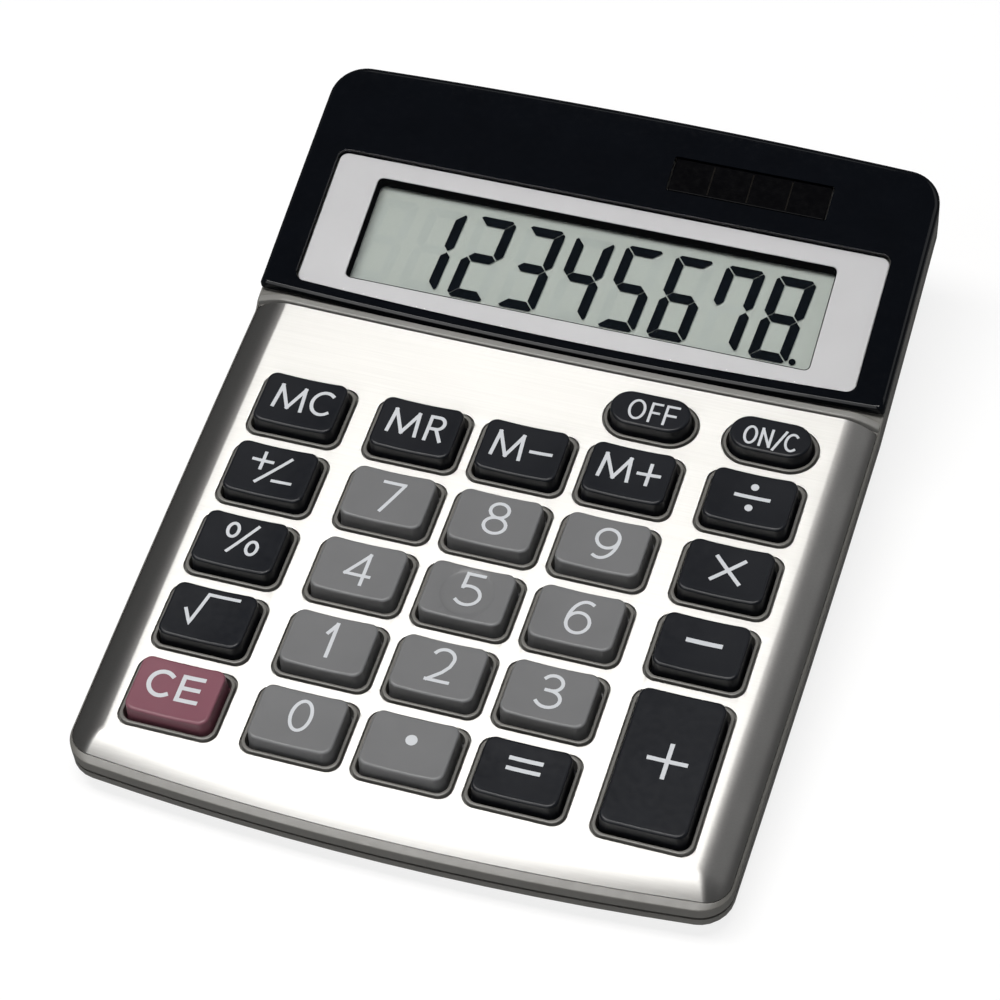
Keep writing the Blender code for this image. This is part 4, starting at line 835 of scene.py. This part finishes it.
# For each key: the width of its strokes, then its glyphs with their left, low, right and high limits
# from the middle of the key.
LEGENDS = {
    "memory_clear": (0.60, ("M", -4.55, -2.35, 1.0, 2.75), ("C", 1.65, -2.3, 5.5, 2.85)),
    "memory_recall": (0.60, ("M", -4.85, -2.4, 0.65, 2.75), ("R", 1.7, -2.55, 4.95, 2.75)),
    "memory_subtract": (0.60, ("M", -5.0, -2.6, 0.5, 2.8), ("-", 1.35, -1.0, 5.3, 0.4)),
    "memory_add": (0.60, ("M", -5.0, -2.3, 0.6, 2.85), ("+", 1.35, -2.25, 5.4, 2.3)),
    "divide": (
        0.66, ("-", -2.6, -0.6, 3.35, 0.65), ("dot", -0.35, 1.43, 0.95, 2.73),
        ("dot", -0.35, -2.75, 0.95, -1.45),
    ),
    "change_sign": (
        0.55, ("+", -3.65, -0.45, 0.1, 3.25), ("/", -1.95, -3.1, 3.0, 2.9),
        ("-", 0.73, -2.8, 4.3, -1.4),
    ),
    "7": (0.56, ("7", -1.56, -3.45, 2.4, 2.78)),
    "8": (0.56, ("8", -1.75, -3.1, 2.4, 3.35)),
    "9": (0.56, ("9", -1.5, -3.25, 2.7, 3.05)),
    "multiply": (0.64, ("x", -2.2, -2.6, 2.85, 2.4)),
    "percent": (
        0.53, ("0", -2.85, 0.12, -0.55, 3.25), ("/", -1.65, -2.7, 2.4, 3.4),
        ("0", 1.2, -2.6, 3.5, 0.5),
    ),
    "4": (0.56, ("4", -2.1, -3.45, 2.4, 2.85)),
    "5": (0.56, ("5", -1.44, -2.8, 2.56, 3.6)),
    "6": (0.56, ("6", -1.65, -3.4, 2.6, 3.2)),
    "subtract": (0.80, ("-", -2.56, -0.55, 3.3, 1.05)),
    "square_root": (0.56, ("root", -3.95, -2.75, 4.3, 3.65)),
    "1": (0.60, ("1", -1.0, -3.1, 1.2, 3.6)),
    "2": (0.57, ("2", -1.55, -2.95, 2.55, 3.5)),
    "3": (0.57, ("3", -1.65, -3.15, 2.27, 3.3)),
    "clear_entry": (0.72, ("C", -4.75, -2.3, -0.65, 2.8), ("E", 0.4, -2.25, 4.25, 2.75)),
    "0": (0.56, ("0", -1.5, -2.6, 2.25, 3.35)),
    "decimal_point": (0.62, ("dot", -0.75, -0.27, 1.13, 1.61)),
    "equals": (0.70, ("-", -2.5, 0.95, 2.94, 2.45), ("-", -2.5, -0.85, 2.94, 0.6)),
    "add": (0.70, ("+", -2.6, -3.25, 3.85, 3.25)),
    "off": (
        0.44, ("0", -3.6, -2.5, -0.7, 1.7), ("F", -0.06, -2.5, 1.9, 1.65),
        ("F", 2.44, -2.5, 4.75, 1.65),
    ),
    "on_clear": (
        0.44, ("0", -4.3, -2.6, -2.0, 1.2), ("N", -1.6, -2.6, 0.45, 1.2),
        ("/", 0.75, -2.95, 2.65, 1.4), ("C", 2.5, -2.6, 4.65, 1.2),
    ),
}
# The limits above are seen at the height of the cap's corners. The dish lies lower, so the marks on it
# move by this much for each millimetre.
SIGHT_LINE = (-0.273, 0.695)


def subdivide(points, longest=0.7):
    """The line in steps short enough to follow a dished top."""
    fine = [points[0]]
    for start, end in zip(points, points[1:]):
        steps = max(1, math.ceil(math.dist(start, end) / longest))
        fine += [tuple(a + (b - a) * i / steps for a, b in zip(start, end)) for i in range(1, steps + 1)]
    return fine


def ribbon(points, width):
    """Outline of a stroke, with square ends that reach half a width past its points."""
    points = subdivide(points)
    line = [Vector(point) for point in points]
    line[0] += (line[0] - line[1]).normalized() * width * 0.5
    line[-1] += (line[-1] - line[-2]).normalized() * width * 0.5
    left, right = [], []
    for i, point in enumerate(line):
        before = (point - line[i - 1]).normalized() if i else None
        after = (line[i + 1] - point).normalized() if i + 1 < len(line) else before
        before = before or after
        along = (before + after).normalized()
        reach = width / 2 / max(0.5, along.dot(after))
        across = Vector((-along.y, along.x)) * reach
        left.append(tuple(point + across))
        right.append(tuple(point - across))
    return right + left[::-1]


def glyph_outlines(glyph, limits, width, shift):
    """Closed outlines of a glyph whose inked area fills the limits."""
    x0, y0, x1, y1 = limits
    x0, x1, y0, y1 = x0 + shift[0], x1 + shift[0], y0 + shift[1], y1 + shift[1]
    if glyph == "dot":
        return [circle(((x0 + x1) / 2, (y0 + y1) / 2), (x1 - x0) / 2, 28)]
    x0, x1, y0, y1 = x0 + width / 2, x1 - width / 2, y0 + width / 2, y1 - width / 2
    lines = [[(x0 + u * (x1 - x0), y0 + v * (y1 - y0)) for u, v in line] for line in GLYPHS[glyph]]
    return [ribbon(line, width) for line in lines]


def make_legend(key):
    width, *glyphs = LEGENDS[key.label]
    drop = CAP_TOP - key.top(*key.centre)
    shift = (key.centre.x + SIGHT_LINE[0] * drop, key.centre.y + SIGHT_LINE[1] * drop)
    outlines = [o for glyph, *limits in glyphs for o in glyph_outlines(glyph, limits, width, shift)]
    mesh = bmesh.new()
    plates(mesh, outlines, lambda x, y: key.top(x, y) - INK_DEPTH, lambda x, y: key.top(x, y) + INK_HEIGHT)
    finish(mesh, "legend_" + key.label, "legend", body=key.name)


# Display end


def lens_outline(inset):
    """Outline of the window moved inwards. Its front side is bowed forwards in the middle."""
    size = (LENS_SIZE[0] - 2 * (LENS_GAP + inset), LENS_SIZE[1] - 2 * (LENS_GAP + inset))
    points = rounded_rectangle(LENS_CENTRE, size, LENS_CORNER - LENS_GAP - inset, 8, 12)
    return [(x, y + LENS_BOW * (x / SEAM_HALF) ** 2 if y < LENS_CENTRE[1] else y) for x, y in points]


def make_panel():
    """Glossy cover of the display end. Its top falls slightly in a border along the outside."""
    mesh = bmesh.new()

    def raised(height):
        return lambda x, y: (y - FOLD_Y) * math.tan(DISPLAY_TILT) + height

    def skirt(x, y):
        share = ease((y - SKIRT_FRONT + SKIRT_RAMP) / SKIRT_RAMP)
        return raised(PANEL_BOTTOM + (DISPLAY_RIM_Z + 0.3 - PANEL_BOTTOM) * share)(x, y)

    def lip(front, side):
        return lambda x, y: raised(front + (side - front) * ease((y - PANEL_FRONT - 1.5) / 2.0))(x, y)

    rows = [
        loop(mesh, display_outline(1.5), raised(PANEL_BOTTOM)),
        loop(mesh, display_outline(1.2), skirt),
        loop(mesh, display_outline(0.08), skirt),
        loop(mesh, display_outline(0.0), lambda x, y: skirt(x, y) + 0.08),
    ]
    for i, (front_inset, front_height) in enumerate(PANEL_LIP):
        angle = math.pi / 2 * i / (len(PANEL_LIP) - 1)
        inset, height = PANEL_ROUND * (1 - math.cos(angle)), -0.25 + 1.09 * math.sin(angle)
        rows.append(loop(mesh, display_outline(inset, front_inset), lip(front_height, height)))
    rows.append(loop(mesh, display_outline(3.2, 1.4), raised(PANEL_TOP)))
    tube(mesh, rows)
    tops, bottoms = [], []
    for hole in (lens_outline(-LENS_GAP), rounded_rectangle(SOLAR_CENTRE, SOLAR_OPENING, 0.5)):
        tops.append(loop(mesh, display_points(hole, PANEL_TOP), raised(PANEL_TOP)))
        bottoms.append(loop(mesh, display_points(hole, PANEL_BOTTOM), raised(PANEL_BOTTOM)))
        band(mesh, tops[-1], bottoms[-1])
    fill(mesh, rows[-1], tops)
    fill(mesh, rows[0], bottoms)
    finish(mesh, "glossy_panel", "panel", DECK, ["display_panel"], 40.0)


def window_outline(grow):
    size = (LCD_WINDOW[0] + 2 * grow, LCD_WINDOW[1] + 2 * grow)
    return rounded_rectangle(LCD_CENTRE, size, 0.9 + grow)


def make_lens():
    mesh = bmesh.new()
    profile = [(0.1, 0.1), (0.0, 0.2)]
    profile += [(0.0, PANEL_TOP - 0.12), (0.03, PANEL_TOP - 0.03), (0.12, PANEL_TOP)]
    solid(mesh, lens_outline, profile)
    finish(mesh, "clear_lens", "lens", DISPLAY, ["display_lens"])


def make_frame():
    """Silver frame with a window whose edge is slightly rounded."""
    mesh = bmesh.new()
    outer = [(0.1, FRAME_BOTTOM), (0.0, FRAME_BOTTOM + 0.1), (0.0, FRAME_TOP - 0.1), (0.1, FRAME_TOP)]
    inner = [(0.12, FRAME_TOP), (0.03, FRAME_TOP - 0.04), (0.0, FRAME_TOP - 0.12), (0.0, FRAME_BOTTOM)]
    outer_rows = wall(mesh, lens_outline, outer)
    inner_rows = wall(mesh, lambda grow: window_outline(FRAME_WINDOW_GAP + grow), inner)
    fill(mesh, outer_rows[-1], [inner_rows[0]])
    fill(mesh, outer_rows[0], [inner_rows[-1]])
    finish(mesh, "silver_frame", "frame", DISPLAY, ["display_frame"], 5.0)


def segment_shapes():
    """The seven segments of a digit in its own box, before the slant, by their usual letters."""
    w, h, t, c, m = DIGIT_WIDTH, DIGIT_HEIGHT, SEGMENT_WIDTH, SEGMENT_CHAMFER, DIGIT_HEIGHT / 2
    high, low = m + t / 2, m - t / 2
    cut = (w - c / 2, h - c / 2)
    top = [(c, h), (w - c, h), cut, (w - t, h - t), (t, h - t), (c / 2, h - c / 2)]
    upper = [cut, (w, h - c), (w, high), (w - t / 2, m), (w - t, high), (w - t, h - t)]
    middle = [(t / 2, m), (t, high), (w - t, high), (w - t / 2, m), (w - t, low), (t, low)]
    shapes = {"a": top, "b": upper, "g": middle}
    shapes["c"] = [(x, h - y) for x, y in upper]
    shapes["d"] = [(x, h - y) for x, y in top]
    for right, left in (("b", "f"), ("c", "e")):
        shapes[left] = [(w - x, y) for x, y in shapes[right]]
    return {letter: shrink(shape, SEGMENT_GAP) for letter, shape in shapes.items()}


def shrink(points, amount):
    """A convex outline moved inwards by amount, anticlockwise."""
    area = sum(a[0] * b[1] - b[0] * a[1] for a, b in zip(points, points[1:] + points[:1]))
    points = [Vector(p) for p in (points if area > 0 else points[::-1])]
    moved = []
    for before, point, after in zip(points[-1:] + points[:-1], points, points[1:] + points[:1]):
        first, second = (point - before).normalized(), (after - point).normalized()
        inward = Vector((-first.y - second.y, first.x + second.x)).normalized()
        moved.append(tuple(point + inward * amount / inward.dot(Vector((-first.y, first.x)))))
    return moved


DIGIT_SEGMENTS = {
    "1": "bc", "2": "abged", "3": "abgcd", "4": "fgbc",
    "5": "afgcd", "6": "afgcde", "7": "abcf", "8": "abcdefg",
}


def make_lcd():
    """Reflector, clear front glass and the segments between them."""
    mesh = bmesh.new()
    size = rounded_rectangle(LCD_CENTRE, LCD_SIZE, 0.2, 2)
    solid(mesh, lambda inset: size, [(0.0, LCD_BOTTOM), (0.0, LCD_TOP - 0.3)])
    finish(mesh, "lcd_reflector", "lcd", DISPLAY, ["lcd_module"])
    mesh = bmesh.new()
    solid(mesh, lambda inset: size, [(0.0, LCD_TOP - 0.28), (0.0, LCD_TOP)])
    finish(mesh, "lcd_front_glass", "glass", DISPLAY)
    shapes = segment_shapes()
    lit, unlit = [], []
    for place, digit in enumerate("87654321 "):
        left = DIGIT_RIGHT - DIGIT_PITCH * place - DIGIT_WIDTH / 2
        for letter, shape in shapes.items():
            slanted = [(left + x + (y - DIGIT_HEIGHT / 2) * DIGIT_SLANT, DIGIT_LOW + y) for x, y in shape]
            (lit if letter in DIGIT_SEGMENTS.get(digit, "") else unlit).append(slanted)
    lit.append(circle(POINT_CENTRE, POINT_RADIUS, 20))
    mesh = bmesh.new()
    plates(mesh, lit, level(LCD_TOP - 0.05), level(LCD_TOP - 0.02))
    finish(mesh, "lcd_digits", "digit", DISPLAY)
    mesh = bmesh.new()
    plates(mesh, unlit, level(LCD_TOP - 0.305), level(LCD_TOP - 0.29))
    finish(mesh, "lcd_idle_segments", "ghost", DISPLAY)


def make_holder():
    """Black frame that makes the walls of the display's recess."""
    mesh = bmesh.new()
    inner, lip = window_outline(0.0), window_outline(0.1)
    collar = rounded_rectangle(LCD_CENTRE, HOLDER_COLLAR, 1.2)
    outer = rounded_rectangle(LCD_CENTRE, HOLDER_OUTER, 1.2)
    pocket = rounded_rectangle(LCD_CENTRE, (LCD_SIZE[0] + 0.6, LCD_SIZE[1] + 0.6), 0.4)
    rows = [
        loop(mesh, points, height)
        for points, height in (
            (inner, FRAME_TOP - 0.1), (lip, FRAME_TOP - 0.1), (lip, HOLDER_TOP - 0.3),
            (collar, HOLDER_TOP - 0.3), (collar, -3.0), (outer, -3.0),
            (outer, HOLDER_BOTTOM), (pocket, HOLDER_BOTTOM), (pocket, HOLDER_LIP_Z), (inner, HOLDER_LIP_Z),
        )
    ]
    tube(mesh, rows + [rows[0]])
    finish(mesh, "lcd_surround", "holder", DISPLAY, ["lcd_holder"])


def make_solar():
    """Dark cell under glass, divided by thin grid lines."""
    mesh = bmesh.new()
    size = (SOLAR_OPENING[0] - 2 * SOLAR_GAP, SOLAR_OPENING[1] - 2 * SOLAR_GAP)

    def outline(inset):
        return rounded_rectangle(SOLAR_CENTRE, (size[0] - 2 * inset, size[1] - 2 * inset), 0.35)

    solid(mesh, outline, [(0.0, -0.7), (0.0, SOLAR_TOP - 0.08), (0.08, SOLAR_TOP)])
    finish(mesh, "solar_glass", "solar", DISPLAY, ["solar_cell"])
    mesh = bmesh.new()
    lines = []
    half_x, half_y = SOLAR_LINE[0] / 2, SOLAR_LINE[1] / 2
    for i in (-1, 0, 1):
        x, y = SOLAR_CENTRE[0] + i * size[0] / 4, SOLAR_CENTRE[1]
        lines.append([(x + sx * half_x, y + sy * half_y) for sx, sy in CORNERS[2:] + CORNERS[:2]])
    plates(mesh, lines, level(SOLAR_TOP - 0.02), level(SOLAR_TOP + 0.01))
    finish(mesh, "solar_grid", "solar_line", DISPLAY)


# Frame nodes that stay, stage, lights and camera


def dress_nodes():
    """Gives the CAD nodes that still show their procedural materials."""
    looks = {
        "lower_case": "case", "keypad_pcb": "pcb", "controller_chip": "chip", "rubber_keypad": "rubber",
        "lcd_flex": "flex", "button_cell": "cell", "battery_contact": "spring", "battery_door": "case",
        "foot": "foot", "case_screw": "steel", "pcb_screw": "steel", "wire_positive": "wire_red",
        "wire_negative": "wire_black",
    }
    for name, node in frame["nodes"].items():
        for part, look in looks.items():
            if part in name:
                node.data.materials.clear()
                node.data.materials.append(LOOKS[look])


def make_stage():
    """Pale floor round the object, and a bright backdrop that only the camera sees."""
    for name, radii, near, far in (("floor", FLOOR, 0.10, 0.40), ("backdrop", BACKDROP, 0.0, 0.01)):
        mesh = bmesh.new()
        rows = [loop(mesh, circle((0.0, 0.0), radius, 64), height) for radius, height in radii]
        tube(mesh, rows[::-1])
        if name == "floor":
            fill(mesh, rows[0])
        bmesh.ops.scale(mesh, vec=(MM, MM, MM), verts=mesh.verts)
        data = bpy.data.meshes.new(name)
        mesh.to_mesh(data)
        mesh.free()
        data.shade_smooth()
        stage = bpy.data.objects.new(name, data)
        bpy.context.scene.collection.objects.link(stage)
        data.materials.append(paper(name + "_paper", near, far))
        stage.visible_glossy = False
        stage.visible_diffuse = name == "floor"


def paper(name, near, far):
    """White paper that turns from lit to evenly bright between two distances from the object."""
    shader = Shader(name, (0.93, 0.93, 0.93), 0.9, Specular_IOR_Level=0.0)
    shader.vary_colour(shader.noise(40.0), 0.995, 1.005)
    emission = shader.node("ShaderNodeEmission", Strength=1.04)
    length = shader.node("ShaderNodeVectorMath")
    length.operation = "LENGTH"
    fade = shader.node("ShaderNodeMapRange", From_Min=near, From_Max=far, To_Min=0.78)
    fade.interpolation_type = "SMOOTHSTEP"
    mix = shader.node("ShaderNodeMixShader")
    shader.feed(shader.place, length, 0)
    shader.feed(length.outputs["Value"], fade, "Value")
    shader.feed(fade.outputs["Result"], mix, "Fac")
    shader.feed(shader.shader.outputs["BSDF"], mix, 1)
    shader.feed(emission.outputs["Emission"], mix, 2)
    shader.feed(mix.outputs["Shader"], shader.nodes["Material Output"], "Surface")
    return shader.material


def make_world():
    """Dim room: dark below the horizon, grey above it."""
    world = bpy.data.worlds.new("studio")
    world.use_nodes = True
    nodes, links = world.node_tree.nodes, world.node_tree.links
    place = nodes.new("ShaderNodeTexCoord").outputs["Generated"]
    split = nodes.new("ShaderNodeSeparateXYZ")
    span = nodes.new("ShaderNodeMapRange")
    span.inputs["From Min"].default_value = -1.0
    ramp = nodes.new("ShaderNodeValToRGB")
    elements = ramp.color_ramp.elements
    elements[0].position, elements[0].color = 0.42, (0.08, 0.08, 0.08, 1.0)
    elements[1].position, elements[1].color = 0.60, (0.11, 0.11, 0.11, 1.0)
    top = elements.new(0.93)
    top.color = (0.05, 0.05, 0.055, 1.0)
    links.new(place, split.inputs["Vector"])
    links.new(split.outputs["Z"], span.inputs["Value"])
    links.new(span.outputs["Result"], ramp.inputs["Fac"])
    links.new(ramp.outputs["Color"], nodes["Background"].inputs["Color"])
    bpy.context.scene.world = world


def add_softbox(name, direction, distance, size, radiance, colour=(1.0, 1.0, 1.0)):
    """Rectangular lamp in a direction from the object, turned towards it. Sizes are in metres."""
    lamp = bpy.data.lights.new(name, "AREA")
    lamp.shape = "RECTANGLE"
    lamp.size, lamp.size_y = size
    lamp.energy = radiance * math.pi * size[0] * size[1]
    lamp.color = colour
    obj = bpy.data.objects.new(name, lamp)
    away = Vector(direction).normalized()
    obj.location = away * distance
    across = (Vector((1.0, 0.0, 0.0)) - away * away.x).normalized()
    obj.rotation_mode = "QUATERNION"
    obj.rotation_quaternion = Matrix((across, away.cross(across), away)).transposed().to_quaternion()
    bpy.context.scene.collection.objects.link(obj)
    return obj


def make_camera():
    data = bpy.data.cameras.new("camera")
    data.lens = CAMERA_LENS
    data.sensor_width = 36.0
    data.clip_start, data.clip_end = 0.01, 20.0
    camera = bpy.data.objects.new("camera", data)
    camera.location = Vector(CAMERA_PLACE) * MM
    camera.rotation_euler = Euler([math.radians(angle) for angle in CAMERA_TURN])
    bpy.context.scene.collection.objects.link(camera)
    bpy.context.scene.camera = camera
    bpy.context.scene.view_settings.view_transform = "Standard"


def main():
    keys = [Key(name) for name in sorted(frame["nodes"]) if name.startswith("key_")]
    make_upper_case(keys)
    make_seam_bar()
    make_plate(keys)
    for key in keys:
        look = "number" if key.label.isdigit() or key.label == "decimal_point" else "function"
        make_cap(key, "clear" if key.label == "clear_entry" else look)
        make_legend(key)
    make_panel()
    make_lens()
    make_frame()
    make_lcd()
    make_holder()
    make_solar()
    dress_nodes()
    make_stage()
    make_world()
    add_softbox("key_light", (-0.14, -0.13, 0.97), 0.75, (0.62, 0.20), 14.0, (1.0, 0.99, 0.97))
    add_softbox("back_light", (-0.20, 0.47, 0.86), 0.85, (0.24, 0.10), 1.5)
    add_softbox("front_light", (-0.22, -0.72, 0.66), 0.90, (0.28, 0.50), 1.9)
    add_softbox("front_sheen", (-0.27, -0.67, 0.69), 0.90, (0.56, 1.20), 1.7).visible_diffuse = False
    add_softbox("right_light", (0.55, 0.48, 0.68), 0.90, (0.80, 0.35), 0.75)
    make_camera()


main()
